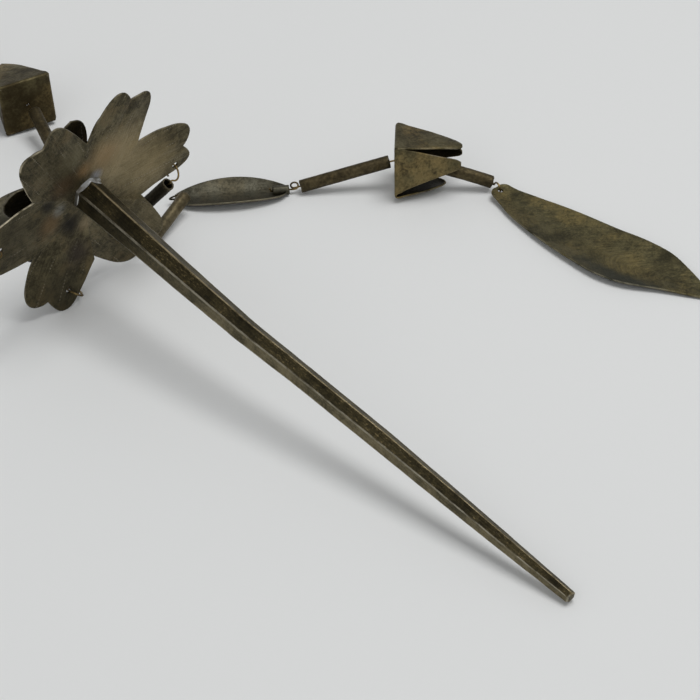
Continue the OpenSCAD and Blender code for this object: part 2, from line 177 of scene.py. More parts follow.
# Where the tarnish on the back of the flower differs: colour, strength, radius, place in the flower
PETAL_PATCHES = [
    ((0.28, 0.225, 0.125), 1.0, 13, (9, 10)),
    ((0.25, 0.20, 0.105), 0.8, 13, (18, 1)),
    ((0.27, 0.195, 0.1), 1.0, 6.5, (4, 12)),
    ((0.27, 0.175, 0.08), 0.85, 3.8, (-1.8, 10.2)),
    ((0.13, 0.085, 0.045), 0.75, 5.5, (-7.3, 8.7)),
    ((0.16, 0.14, 0.08), 0.7, 7, (-6, 16)),
    ((0.17, 0.14, 0.08), 0.6, 11, (20.5, -14)),
    ((0.16, 0.105, 0.05), 0.8, 5, (-10.7, -1.6)),
    ((0.02, 0.017, 0.013), 0.85, 5, (-4.5, -4.9)),
    ((0.045, 0.035, 0.03), 0.75, 6, (-2.5, -14)),
    ((0.02, 0.018, 0.013), 0.85, 3.2, (-11.6, 4.1)),
    ((0.21, 0.21, 0.19), 0.6, 2.8, (-8.2, 1.4)),
    ((0.24, 0.19, 0.115), 0.8, 3.2, (-0.2, -6.7)),
    ((0.04, 0.035, 0.022), 0.6, 13, (-8, -23)),
    ((0.04, 0.035, 0.022), 0.45, 13, (-22, 1)),
    ((0.26, 0.26, 0.27), 0.85, 2.6, (2.2, 6.7)),
]
# Painted highlights and painted shade along the bent creases on the back of the flower: colour, strength,
# width, both ends in the flower
PAINTED_CREASE_LIGHT = [
    ((0.24, 0.215, 0.16), 0.7, 0.8, (-11.3, 20.3), (-6.9, 11.5)),
    ((0.22, 0.195, 0.14), 0.7, 0.8, (4.7, -11.2), (9.4, -19.6)),
    ((0.40, 0.37, 0.30), 0.8, 0.4, (-18.8, 18.9), (-17.3, 16.4)),
    ((0.22, 0.185, 0.12), 0.8, 1.0, (6.2, 2.2), (13.7, 0.1)),
    ((0.015, 0.013, 0.01), 0.8, 1.8, (-6.1, -0.4), (-2.2, -12.5)),
    ((0.02, 0.018, 0.012), 0.7, 1.5, (-9.1, 17.1), (-2.8, 10.3)),
    ((0.02, 0.018, 0.012), 0.6, 1.2, (-14.1, 6.4), (-4.8, -0.7)),
    ((0.02, 0.018, 0.012), 0.7, 1.0, (5.3, 25.3), (3.5, 19.5)),
]
# Distance of each row of chased dashes from a petal's middle
DASH_ROWS = (-6.4, -2.3, 2.4, 6.6)
# For each kind of drop: finish, its base, warm and dark colour, density of its rubbed lines, hatched or not
DROP_FINISHES = (
    ("boat_silver", (0.095, 0.09, 0.066), (0.1, 0.086, 0.054), (0.035, 0.032, 0.022), (1.6, 0.2), False),
    ("bell_brass", (0.15, 0.128, 0.064), (0.26, 0.19, 0.08), (0.05, 0.041, 0.022), (0.5, 0.9), False),
    ("leaf_brass", (0.15, 0.13, 0.062), (0.215, 0.168, 0.068), (0.042, 0.038, 0.021), (0.7, 0.5), True))

# Lens and sensor are in millimetres too, and the lights and the table in metres
CAMERA_PLACE = (-347.2, -406.5, 363.6)
CAMERA_AIM = (-9.7, -69.0, 0.0)
LENS = 135.8
SENSOR = 36.0
TABLE_SIDE = 12.0
# Each light: direction from the middle of the table, distance, size, power
LIGHTS = {"key": ((0.19, -0.16, 1.0), 1.3, 0.82, 8.2), "fill": ((-0.75, -0.25, 0.6), 1.6, 1.0, 1.9)}
# Soft room light that is dim straight above and brighter toward the walls: height, colour
SKY = ((0.0, (0.8, 0.81, 0.82)), (0.9, (0.3, 0.3, 0.3)))
SKY_STRENGTH = 0.76


# Geometry

def unit(v):
    v = np.asarray(v, float)
    return v / np.linalg.norm(v)


def curve(a, b, c, d, n):
    """A smooth line from a to d that leaves toward b and arrives from c."""
    a, b, c, d = (np.asarray(p, float) for p in (a, b, c, d))
    return [(1 - t) ** 3 * a + 3 * (1 - t) ** 2 * t * b + 3 * (1 - t) * t * t * c + t ** 3 * d
            for t in np.linspace(0, 1, n + 1)]


def rounded(table, at):
    """Smooth curve through a table's points."""
    x, y = table[:, 0], table[:, 1]
    slope = np.gradient(y, x)
    i = np.clip(np.searchsorted(x, at, side="right") - 1, 0, len(x) - 2)
    h = x[i + 1] - x[i]
    t = np.clip((at - x[i]) / h, 0, 1)
    return ((2 * t ** 3 - 3 * t ** 2 + 1) * y[i] + (t ** 3 - 2 * t ** 2 + t) * h * slope[i]
            + (3 * t ** 2 - 2 * t ** 3) * y[i + 1] + (t ** 3 - t ** 2) * h * slope[i + 1])


def smooth(x, low, high):
    t = np.clip((np.asarray(x, float) - low) / (high - low), 0, 1)
    return t * t * (3 - 2 * t)


def hump(x, width):
    """1 where x is 0, falling off to both sides."""
    return np.exp(-(x / width) ** 2)


def degrees_from(angles, middle):
    return (np.degrees(angles) - middle + 180) % 360 - 180


def stacked(*parts):
    """Points from arrays of their coordinates."""
    return np.stack(np.broadcast_arrays(*parts), -1)


def steps_to_rim(n, length):
    """Shares of a length that end in one narrow step beside the rim."""
    return np.append(np.linspace(0, 1 - RIM_STEP / length, n), 1.0)


def across_steps(n, width):
    """Shares of half a width from rim to rim, with a narrow step beside each."""
    inner = 1 - 2 * RIM_STEP / width
    return np.concatenate([[-1], np.linspace(-inner, inner, n), [1]])


def from_corner(degrees):
    """Degrees round the stick to the nearest corner."""
    return np.abs((degrees + 30) % 60 - 30)


def hexagon(into):
    """Distance of a hexagon's side from its middle, as a share of its corner's."""
    return math.cos(math.radians(30)) / np.cos(np.radians(30 - into))


def waver(points, size, seed):
    """Smooth noise between -1 and 1 at each point, with bumps of about the given size."""
    flat = np.asarray(points, float).reshape(-1, 3) / size + seed * 7.31
    values = [noise.noise(Vector(p)) for p in flat]
    return np.array(values).reshape(np.asarray(points).shape[:-1])


def turn_about(axis, degrees):
    return np.array(Matrix.Rotation(math.radians(degrees), 3, axis))


def from_flower(points):
    """The flower's own frame has Z along the stick and Y up."""
    points = np.asarray(points, float)
    up = np.array([0, -math.sin(SLOPE), math.cos(SLOPE)])
    out = np.array([0, -math.cos(SLOPE), -math.sin(SLOPE)])
    return FLOWER + points[..., :1] * [1, 0, 0] + points[..., 1:2] * up + points[..., 2:3] * out


def flower_way(way):
    """A direction in the flower, in the row's frame."""
    return from_flower(way) - FLOWER


def above_table(points):
    lifted = points.copy()
    lifted[:, 2] = np.maximum(points[:, 2], PETAL_GAP)
    return lifted


def metres(points):
    return (np.asarray(points, float) - CENTRE) * MM


def clean(mesh, merge=0):
    """Joins points closer than a distance in millimetres, and turns the faces outward."""
    work = bmesh.new()
    work.from_mesh(mesh)
    if merge:
        bmesh.ops.remove_doubles(work, verts=work.verts, dist=merge * MM)
        bmesh.ops.dissolve_degenerate(work, dist=merge * MM / 4, edges=work.edges)
    bmesh.ops.recalc_face_normals(work, faces=work.faces)
    work.to_mesh(mesh)
    work.free()
    mesh.shade_smooth()


class Shape:
    """What a mesh is made of: points, faces, a pair of surface coordinates per point and its wear."""

    def __init__(self):
        self.points, self.faces, self.flat, self.wear = [], [], [], []

    def add(self, points, faces, flat, wear):
        start = sum(len(p) for p in self.points)
        self.points.append(np.asarray(points, float).reshape(-1, 3))
        self.faces += [[start + i for i in f] for f in faces]
        self.flat.append(np.asarray(flat, float).reshape(-1, 2))
        self.wear.append(np.asarray(wear, float).reshape(-1))
        return self

    def place(self, function):
        self.points = [function(p) for p in self.points]
        return self

    def move(self, turn, to):
        return self.place(lambda p: p @ turn.T + to)

    def mesh(self, name):
        flat, wear = np.concatenate(self.flat), np.concatenate(self.wear)
        mesh = bpy.data.meshes.new(name)
        mesh.from_pydata(metres(np.concatenate(self.points)).tolist(), [], self.faces)
        mesh.attributes.new("wear", "FLOAT", "POINT").data.foreach_set("value", wear.astype(np.float32))
        layer = mesh.uv_layers.new(name="Surface")
        corners = np.zeros(len(mesh.loops), np.int32)
        mesh.loops.foreach_get("vertex_index", corners)
        layer.data.foreach_set("uv", flat[corners].astype(np.float32).ravel())
        clean(mesh, merge=0.002)
        return mesh


def grid_faces(grid):
    """The faces between a grid's points."""
    rows, columns = grid.shape[:2]
    index = np.arange(rows * columns).reshape(rows, columns)
    return [[index[i, j], index[i, j + 1], index[i + 1, j + 1], index[i + 1, j]]
            for i in range(rows - 1) for j in range(columns - 1)]


def away_from(row, beside):
    """Unit vectors from one row of points to another, or zero where they meet."""
    way = row - beside
    size = np.linalg.norm(way, axis=-1, keepdims=True)
    return np.where(size > 1e-6, way / np.maximum(size, 1e-6), 0)


def thick_sheet(grid, thickness, flat, normals, rims=(1, 1, 1, 1), pinched=False):
    """Sheet over a grid of points, with its rims rounded and marked as worn.

    The rims are those of the first row, the last row, the first column and the last column.
    """
    rows, columns = grid.shape[:2]
    normals = np.broadcast_to(normals, grid.shape) / np.linalg.norm(normals, axis=-1, keepdims=True)
    index = np.arange(rows * columns).reshape(rows, columns)
    count = rows * columns
    offset = normals * thickness / 2
    points = [(grid + offset).reshape(-1, 3), (grid - offset).reshape(-1, 3)]
    flats = [flat.reshape(-1, 2)] * 2
    faces = []
    for i in range(rows - 1):
        for j in range(columns - 1):
            a, b, c, d = index[i, j], index[i + 1, j], index[i + 1, j + 1], index[i, j + 1]
            faces += [[a, b, c, d], [count + d, count + c, count + b, count + a]]
    edges = [[(0, j) for j in range(columns)], [(rows - 1, j) for j in range(columns)],
             [(i, 0) for i in range(rows)], [(i, columns - 1) for i in range(rows)]]
    out = np.zeros(grid.shape)
    out[0] += rims[0] * away_from(grid[0], grid[1])
    out[-1] += rims[1] * away_from(grid[-1], grid[-2])
    out[:, 0] += rims[2] * away_from(grid[:, 0], grid[:, 1])
    out[:, -1] += rims[3] * away_from(grid[:, -1], grid[:, -2])
    if pinched:
        out[0] = 0
    out = away_from(out, 0 * out)
    wear = np.zeros(2 * count)
    start = 2 * count
    for edge, used in zip(edges, rims):
        if not used:
            continue
        points.append(np.array([grid[p] + out[p] * thickness * 0.3 for p in edge]))
        flats.append(np.array([flat[p] for p in edge]))
        wear[[index[p] for p in edge]] = 1
        wear[[count + index[p] for p in edge]] = 1
        wear = np.append(wear, np.ones(len(edge)))
        for k in range(len(edge) - 1):
            a, b = index[edge[k]], index[edge[k + 1]]
            faces += [[a, b, start + k + 1, start + k], [start + k, start + k + 1, count + b, count + a]]
        start += len(edge)
    return np.concatenate(points), faces, np.concatenate(flats), wear


def marked_for_inside_shade(sheet, grid):
    """The sheet with the wear of its under side lowered by 2, so that a finish can tell the sides apart and
    paint shade on the inside.
    """
    points, faces, flat, wear = sheet
    count = grid[..., 0].size
    wear[count:2 * count] -= 2
    return points, faces, flat, wear


def side_vectors(heads):
    """A sideways direction at each point of a path, carried along it without twisting."""
    first = np.cross(heads[0], [0, 0, 1] if abs(heads[0][2]) < 0.9 else [1, 0, 0])
    found = [unit(first)]
    for h in heads[1:]:
        found.append(unit(found[-1] - np.dot(found[-1], h) * h))
    return np.array(found)


def rolled_tube(path, width, wall, seed, seam=200):
    """Tube of rolled sheet along a path: uneven outside, a seam, ends that are not quite square."""
    rough, around = 0.03, 40
    path = np.asarray(path, float)
    heads = np.gradient(path, axis=0)
    heads /= np.linalg.norm(heads, axis=1, keepdims=True)
    sides = side_vectors(heads)
    ups = np.cross(heads, sides)
    far = np.concatenate([[0], np.cumsum(np.linalg.norm(np.diff(path, axis=0), axis=1))])
    angles = np.arange(around + 1) * 2 * math.pi / around
    ring = np.cos(angles)[None, :, None] * sides[:, None] + np.sin(angles)[None, :, None] * ups[:, None]
    ring[:, -1] = ring[:, 0]
    outer = path[:, None] + ring * width / 2
    uneven = waver(outer, 0.9, seed) * rough + waver(outer, 4, seed + 3) * rough * 0.6
    groove = 0.16 * hump(degrees_from(angles, seam), 5)
    outer = path[:, None] + ring * (width / 2 + uneven - groove)[..., None]
    inner = path[:, None] + ring * (width / 2 - wall)
    ragged = waver(ring[0] * 1.5, 1, seed + 9)[:, None] * 0.18
    for surface in (outer, inner):
        surface[0] += heads[0] * (ragged + 0.15)
        surface[-1] -= heads[-1] * (np.roll(ragged, 11, 0) + 0.15)
        surface[:, -1] = surface[:, 0]
    mouths = [inner[end] + (outer[end] - inner[end]) * 0.5 + sign * heads[end] * 0.05
              for end, sign in ((0, -1), (-1, 1))]
    rows = np.array([mouths[0], *outer, mouths[1], *inner[::-1], mouths[0]])
    spans = np.concatenate([[0], far, [far[-1]], far[::-1], [0]])
    wear = np.zeros(len(rows))
    wear[[0, 1, len(path), len(path) + 1, len(path) + 2, -2, -1]] = 1
    flat = stacked(angles * width / 2, spans[:, None])
    return rows, grid_faces(rows), flat, np.repeat(wear, around + 1)


def lathe(profile, around):
    """Turned solid about Z from points of radius and height that start and end on the axis."""
    radius, height = np.asarray(profile, float).T[..., None]
    angles = np.arange(around + 1) * 2 * math.pi / around
    angles[-1] = 0
    grid = stacked(radius * np.cos(angles), radius * np.sin(angles), height)
    return grid, grid_faces(grid), grid[..., :2], np.zeros(grid.shape[:2])


# Routes of the wires

def hook_foot(c, m, r):
    """Where the stem of a loop ends, from the loop's middle, the direction of its stem and its radius."""
    return c + (r + LOOP_STEM) * m


def hook(c, m, k, r):
    """An open loop, where k is square to the stem in the loop's plane."""
    lean, ends = np.radians(LOOP_SPAN)
    at = c + r * (math.cos(lean) * m + math.sin(lean) * k)
    way = -math.sin(lean) * m + math.cos(lean) * k
    foot = hook_foot(c, m, r)
    lead = curve(foot, foot - 0.5 * m, at - 0.4 * r * way, at, 6)
    return lead + [c + r * (math.cos(a) * m + math.sin(a) * k) for a in np.linspace(lean, ends, 24)[1:]]


def bend(foot, m, mouth, inward):
    """From a loop's foot, in the direction away from its loop, into the mouth of a tube."""
    reach = np.linalg.norm(mouth - foot) / 2.5
    return curve(foot, foot + reach * m, mouth - reach * inward, mouth + 2 * inward, 14)[1:]


def curved_point(s, degrees):
    """A point on the axis of a strand's curved tube, by its place on the arc."""
    a, pitch, yaw = math.radians(degrees), math.radians(CURVED_PITCH), math.radians(s["curved_yaw"])
    tilt, turn = math.radians(s["bell_turn"][1]), math.radians(s["bell_turn"][2])
    start = np.array(s["bell"]) + BELL_GAP * np.array(
        [math.cos(turn) * math.cos(tilt), math.sin(turn) * math.cos(tilt), -math.sin(tilt)])
    f, d = CURVED_RADIUS * math.sin(a), CURVED_RADIUS * (1 - math.cos(a))
    x, z = f * math.cos(pitch) - d * math.sin(pitch), -f * math.sin(pitch) - d * math.cos(pitch)
    return start + np.array([x * math.cos(yaw), x * math.sin(yaw), z])


def ring_route(s):
    tube = np.array(s["tube_1"])
    way, aim = unit(tube[1] - tube[0]), unit(s["ring_aim"])
    ring_side = unit(np.cross(aim, np.cross([0, -1, 0], aim)))
    c, loop = np.array(s["hole"]) + RING_RADIUS * aim, tube[1] + (LOOP_RADIUS + LOOP_STEM) * way
    across = unit(np.cross(unit(np.cross(way, unit(s["link_aim"]))), -way))
    return (hook(c, aim, ring_side, RING_RADIUS)[::-1]
            + bend(hook_foot(c, aim, RING_RADIUS), aim, tube[0], way)
            + bend(hook_foot(loop, -way, LOOP_RADIUS), -way, tube[1], -way)[::-1]
            + hook(loop, -way, across, LOOP_RADIUS))


def tail(mouth, inward, neck):
    """The end of a wire that is bent up inside a boat's neck."""
    return [mouth + (neck + 0.7) * inward + [0, 0, 0.8], mouth + (neck + 0.4) * inward, mouth + inward]


def link_route(s):
    tube_1, tube, boat = (np.array(s[k]) for k in ("tube_1", "tube_2", "boat"))
    way_1, way, onward = unit(tube_1[1] - tube_1[0]), unit(tube[1] - tube[0]), unit(boat[1] - boat[0])
    aim = unit(s["link_aim"])
    side = unit(np.cross(way_1, aim))
    c = tube_1[1] + (LOOP_RADIUS + LOOP_STEM) * way_1 + LOOP_RADIUS * aim
    last = curve(tube[1] + 0.8 * way, tube[1] + 2.4 * way,
                 boat[0] - 3.6 * onward, boat[0] - 0.4 * onward, 16)
    return (hook(c, aim, side, LOOP_RADIUS)[::-1] + bend(hook_foot(c, aim, LOOP_RADIUS), aim, tube[0], way)
            + [tube[1] - way] + last + tail(boat[0], onward, NECKS[0])[::-1])


def thread_route(s):
    boat, tube = np.array(s["boat"]), np.array(s["tube_3"])
    back, way = unit(boat[0] - boat[1]), unit(tube[1] - tube[0])
    foot, turn = boat[1] - 1.3 * back, np.cross(Z_AXIS, -back)
    curl = [foot - CURL_RADIUS * math.sin(math.radians(a)) * back
            + [0, 0, CURL_RADIUS * (1 - math.cos(math.radians(a)))] + a / 600 * turn
            for a in range(0, 361, 15)]
    leaf = np.array(s["leaf_hole"])
    out = unit((curved_point(s, CURVED_TURN) - leaf) * [1, 1, 0])
    return (tail(boat[1], back, NECKS[1]) + curl + [tube[0] + 2 * way, tube[1] - way, np.array(s["bell"])]
            + [curved_point(s, CURVED_TURN * i / 8) for i in range(9)]
            + hook(leaf + LOOP_RADIUS * out, out, Z_AXIS, LOOP_RADIUS))


# Nodes

def operator_pair(operation):
    """An arithmetic operator and its reflected form."""
    def forward(self, other):
        return self.nodes.add("ShaderNodeMath", {"operation": operation}, self, other)

    def reflected(self, other):
        return self.nodes.add("ShaderNodeMath", {"operation": operation}, other, self)

    return forward, reflected


class Value:
    """A socket that takes part in arithmetic."""

    def __init__(self, nodes, socket):
        self.nodes, self.socket = nodes, socket

    def math(self, operation, *others):
        return self.nodes.add("ShaderNodeMath", {"operation": operation}, self, *others)

    def __abs__(self):
        return self.math("ABSOLUTE")

    __add__, __radd__ = operator_pair("ADD")
    __sub__, __rsub__ = operator_pair("SUBTRACT")
    __mul__, __rmul__ = operator_pair("MULTIPLY")
    __truediv__, __rtruediv__ = operator_pair("DIVIDE")
    __pow__, __rpow__ = operator_pair("POWER")


class Nodes:
    """A tree to which nodes are added."""

    def __init__(self, tree):
        self.tree = tree

    def add(self, kind, settings, *values, output=0, **named):
        """A node from its settings, and the values or links of its sockets in order or by name."""
        node = self.tree.nodes.new(kind)
        for key, value in settings.items():
            if key == "stops":
                for element, (position, colour) in zip(node.color_ramp.elements, value):
                    element.position, element.color = position, (*colour, 1)
            else:
                setattr(node, key, value)
        for socket, value in zip([s for s in node.inputs if s.enabled], values):
            self.give(socket, value)
        for key, value in named.items():
            self.give(node.inputs[key.replace("_", " ")], value)
        return Value(self, [s for s in node.outputs if s.enabled][output])

    def give(self, socket, value):
        if isinstance(value, Value):
            self.tree.links.new(value.socket, socket)
        elif socket.type == "RGBA":
            socket.default_value = (*value[:3], 1)
        else:
            socket.default_value = value


class GeometryTree(Nodes):
    """A tree that changes a mesh, with named inputs and a finish."""

    def __init__(self, name, **inputs):
        tree = bpy.data.node_groups.new(name, "GeometryNodeTree")
        super().__init__(tree)
        for label, kind in {"Geometry": "Geometry", **inputs, "Finish": "Material"}.items():
            label = label.replace("_", " ")
            tree.interface.new_socket(label, in_out="INPUT", socket_type=f"NodeSocket{kind}")
        tree.interface.new_socket("Geometry", in_out="OUTPUT", socket_type="NodeSocketGeometry")
        source = tree.nodes.new("NodeGroupInput")
        self.inputs = {s.name: Value(self, s) for s in source.outputs if s.name}

    def end(self, geometry):
        """Gives the geometry its finish and returns the tree."""
        paint = self.add("GeometryNodeSetMaterial", {}, Geometry=geometry, Material=self.inputs["Finish"])
        self.give(self.tree.nodes.new("NodeGroupOutput").inputs["Geometry"], paint)
        return self.tree


class Finish(Nodes):
    """One material's nodes."""

    def __init__(self, name):
        self.material = bpy.data.materials.new(name)
        self.material.use_nodes = True
        super().__init__(self.material.node_tree)
        self.shader = self.tree.nodes["Principled BSDF"]
        self.colour = None

    def place(self):
        return self.add("ShaderNodeTexCoord", {}, output=3)

    def surface(self):
        """Coordinates on the sheet: one across or round it, one along it, in millimetres."""
        both = self.add("ShaderNodeUVMap", {"uv_map": "Surface"})
        return [self.add("ShaderNodeSeparateXYZ", {}, both, output=i) for i in (0, 1)]

    def wear(self):
        return self.add("ShaderNodeAttribute", {"attribute_name": "wear"}, output=2)

    def vector(self, x, y):
        return self.add("ShaderNodeCombineXYZ", {}, x, y)

    def noise(self, where, scale, detail=3.0, roughness=0.5):
        return self.add("ShaderNodeTexNoise", {}, Vector=where, Scale=scale, Detail=detail,
                        Roughness=roughness)

    def band(self, value, low, high, start=0.0, end=1.0):
        """A smooth change from start to end while the value goes from low to high."""
        smoothstep = {"interpolation_type": "SMOOTHSTEP"}
        return self.add("ShaderNodeMapRange", smoothstep, value, low, high, start, end)

    def fade(self, value, low, high):
        """1 below the first value, 0 above the second."""
        return self.band(value, low, high, 1.0, 0.0)

    def mix(self, factor, a, b):
        return self.add("ShaderNodeMix", {"data_type": "RGBA"}, factor, a, b)

    def patch(self, where, middle, radius):
        """1 at a point given in millimetres, falling to 0 at the radius."""
        away = self.add("ShaderNodeVectorMath", {"operation": "DISTANCE"}, where, tuple(metres(middle)))
        return self.fade(away, 0.0, radius * MM)

    def streak(self, where, ends, width):
        """1 along a straight line between two points in millimetres, falling to 0 at half the width."""
        start, end = metres(ends)
        long = np.linalg.norm(end - start)
        from_start = self.add("ShaderNodeVectorMath", {"operation": "SUBTRACT"}, where, tuple(start))
        along = self.add("ShaderNodeVectorMath", {"operation": "DOT_PRODUCT"}, from_start,
                         tuple((end - start) / long))
        away = self.add("ShaderNodeVectorMath", {"operation": "LENGTH"}, from_start)
        aside = (away * away - along * along).math("MAXIMUM", 0.0) ** 0.5
        inside = self.band(along, 0.0, long * 0.3) * self.fade(along, long * 0.7, long)
        return self.fade(aside, 0.0, width / 2 * MM) * inside

    def scratches(self, across, along, degrees, share):
        """Sparse fine scratches that all run about the same way."""
        c, s = math.cos(math.radians(degrees)), math.sin(math.radians(degrees))
        fine, long = (across * c - along * s) * 7.0, (across * s + along * c) * 0.32
        lines = self.noise(self.vector(fine, long), 1.0, 2.0)
        return self.band(lines, 1.0 - share, 1.05 - share)

    def cover(self, factor, colour):
        """Lays another colour over the finish's own."""
        self.colour = self.mix(factor, self.colour, colour)

    def finish(self, metallic, roughness, height, depth):
        """Joins the colour and the rest to the shader, with a relief of a depth in millimetres."""
        relief = self.add("ShaderNodeBump", {}, Strength=1.0, Distance=depth * MM, Height=height)
        for name, value in {"Base Color": self.colour, "Metallic": metallic, "Roughness": roughness,
                            "Normal": relief}.items():
            self.give(self.shader.inputs[name], value)
        return self.material


# Finishes

def scaled(colour, amount):
    return tuple(c * amount for c in colour)


def make_petal_finish(name, dim, colours):
    """Mottled tarnish, rubbed and scratched, with chased dashes and a few bright rims."""
    f = Finish(name)
    where, wear = f.place(), f.wear()
    across, along = f.surface()
    blotch = f.noise(where, 130.0, 5.0, 0.6)
    middle = f.noise(where, 480.0, 4.0, 0.6)
    fine = f.noise(where, 1500.0, 4.0, 0.65)
    rub = f.noise(f.vector(across * 2.4, along * 0.22), 1.0, 4.0, 0.6)
    grain = f.noise(where, 3200.0, 2.0)
    tone = f.band(blotch * 0.3 + middle * 0.22 + rub * 0.18 + fine * 0.16 + grain * 0.14, 0.4, 0.6)
    f.colour = f.mix(tone, scaled(colours.dark, 0.36), scaled(colours.dark, 1.45))
    warmth = f.band(f.noise(where, 170.0, 3.0), 0.47, 0.64) * f.band(middle, 0.4, 0.6)
    f.cover(warmth * 0.5, (0.15, 0.112, 0.055))
    for shade, strength, radius, (x, y) in PETAL_PATCHES:
        spot = f.patch(where, from_flower((x, y, 0)), radius)
        spot = (spot * strength * (grain * 0.9 + rub + middle * 0.4)).math("MINIMUM", 1.0)
        f.cover(spot, shade)
    # Painted highlights and painted shade along the creases
    for shade, strength, width, start, end in PAINTED_CREASE_LIGHT:
        line = f.streak(where, from_flower([(*start, 0), (*end, 0)]), width)
        f.cover(line * strength * f.band(fine, 0.3, 0.55), shade)
    lines = f.scratches(across, along, 12, 0.32).math("MAXIMUM", f.scratches(across, along, -24, 0.3))
    f.cover(lines * f.band(middle, 0.42, 0.62) * 0.5, (0.25, 0.22, 0.16))
    dashes = 0.0
    for line in DASH_ROWS:
        spread = line + along * line * 0.012 - 0.12 * line
        stroke = f.fade(abs(across - spread), 0.05, 0.2)
        gaps = f.band((along * 1.25 + line * 0.37).math("PINGPONG", 0.5), 0.12, 0.3)
        dashes = (stroke * gaps).math("MAXIMUM", dashes)
    dashes = dashes * f.band(f.noise(where, 190.0, 2.0), 0.44, 0.62) * f.band(along, 9.0, 14.0)
    f.cover(dashes * 0.4, colours.bright)
    left = f.patch(where, from_flower((-21, 12, 0)), 21)
    rim = (wear ** 2.0) * f.band(f.noise(where, 260.0, 3.0), 0.35, 0.6) * (left + 0.2)
    f.cover(rim, colours.bright)
    # A darker copy for the front layer: painted shade over the whole layer
    if dim:
        f.cover(dim, (0.014, 0.012, 0.008))
    height = rub * 0.25 + fine * 0.45 + middle * 0.5 + blotch * 0.6 - dashes * 0.8
    rough = f.band(tone + rim * 0.4, 0.0, 1.4, 0.6, 0.4)
    return f.finish(0.93, rough, height, 0.22)


def make_stick_finish(colours):
    """Faces with file marks and golden specks, and bare bright corners.

    The top, from 60 to 120 degrees round the stick, is nearly black and the left face is light: painted
    reflections, of the dark room above and of the bright table. The root is nearly black too.
    """
    f = Finish("stick_silver")
    where, wear = f.place(), f.wear()
    turn, along = f.surface()
    around = turn * (math.pi / 360) * (ROOT_WIDTH - along * ((ROOT_WIDTH - TIP_WIDTH) / STICK_LENGTH))
    blotch = f.noise(where, 120.0, 5.0, 0.6)
    middle = f.noise(where, 420.0, 4.0, 0.6)
    marks = f.noise(f.vector(around * 3.2, along * 0.1), 1.0, 4.0, 0.6)
    fine = f.noise(where, 1700.0, 4.0, 0.65)
    tone = f.band(blotch * 0.34 + middle * 0.2 + marks * 0.22 + fine * 0.24, 0.38, 0.62)
    # Masks of the top and the left face, which get painted reflections
    top, left = (f.band(turn, a - 2, a + 2) * f.fade(turn, a + 58, a + 62) for a in (60, 120))
    root = f.fade(along, 6.0, 52.0)
    f.colour = f.mix(tone, scaled(colours.dark, 0.42), scaled(colours.dark, 1.35))
    # Painted reflection of the bright table on the left face, fading toward the root
    pale = f.mix(tone, (0.07, 0.06, 0.034), (0.26, 0.222, 0.135))
    f.cover(left * (1.0 - root) * 0.75, pale)
    # Painted dark reflection on the top face, and the dark root
    black = (top * 0.85 + root * 0.5).math("MINIMUM", 0.92)
    f.cover(black, f.mix(tone, (0.01, 0.0085, 0.0045), (0.042, 0.033, 0.014)))
    specks = f.band(f.noise(f.vector(around * 2.2, along * 0.9), 1.0, 5.0, 0.75), 0.53, 0.66)
    f.cover(specks * f.band(blotch, 0.4, 0.58) * 0.75, (0.21, 0.16, 0.075))
    lines = f.scratches(around, along, 4, 0.33) * f.band(middle, 0.42, 0.6)
    f.cover(lines * 0.5, (0.22, 0.19, 0.13))
    rubbed = f.band(f.noise(f.vector(around * 0.8, along * 0.16), 1.0, 5.0, 0.65), 0.36, 0.6)
    corner = f.band(wear + fine * 0.5, 0.45, 1.05) * (rubbed * 0.8 + 0.2)
    bare = f.mix(f.band(turn, 85.0, 95.0), (0.33, 0.27, 0.16), (0.38, 0.35, 0.27))
    f.cover(corner * 0.85, bare)
    height = marks * 0.5 + fine * 0.4 + middle * 0.4 + blotch * 0.8
    rough = f.band(corner + tone * 0.3, 0.0, 1.3, 0.55, 0.38)
    return f.finish(0.93, rough, height, 0.18)


def make_solder_finish(colours):
    """Bright solder, stained in places and dark on its lower side."""
    f = Finish("solder_silver")
    where = f.place()
    grain = f.noise(where, 700.0, 4.0, 0.6)
    stain = f.band(f.noise(where, 260.0, 3.0), 0.45, 0.62)
    low = f.patch(where, from_flower((-1, ROOT_UP - 6, 0)), 9)
    f.colour = f.mix(stain * 0.8, colours.solder, (0.08, 0.066, 0.04))
    f.cover(low * 0.95, scaled(colours.dark, 0.5))
    rough = f.band(stain, 0.0, 1.0, 0.28, 0.48)
    return f.finish(0.9, rough, grain, 0.08)


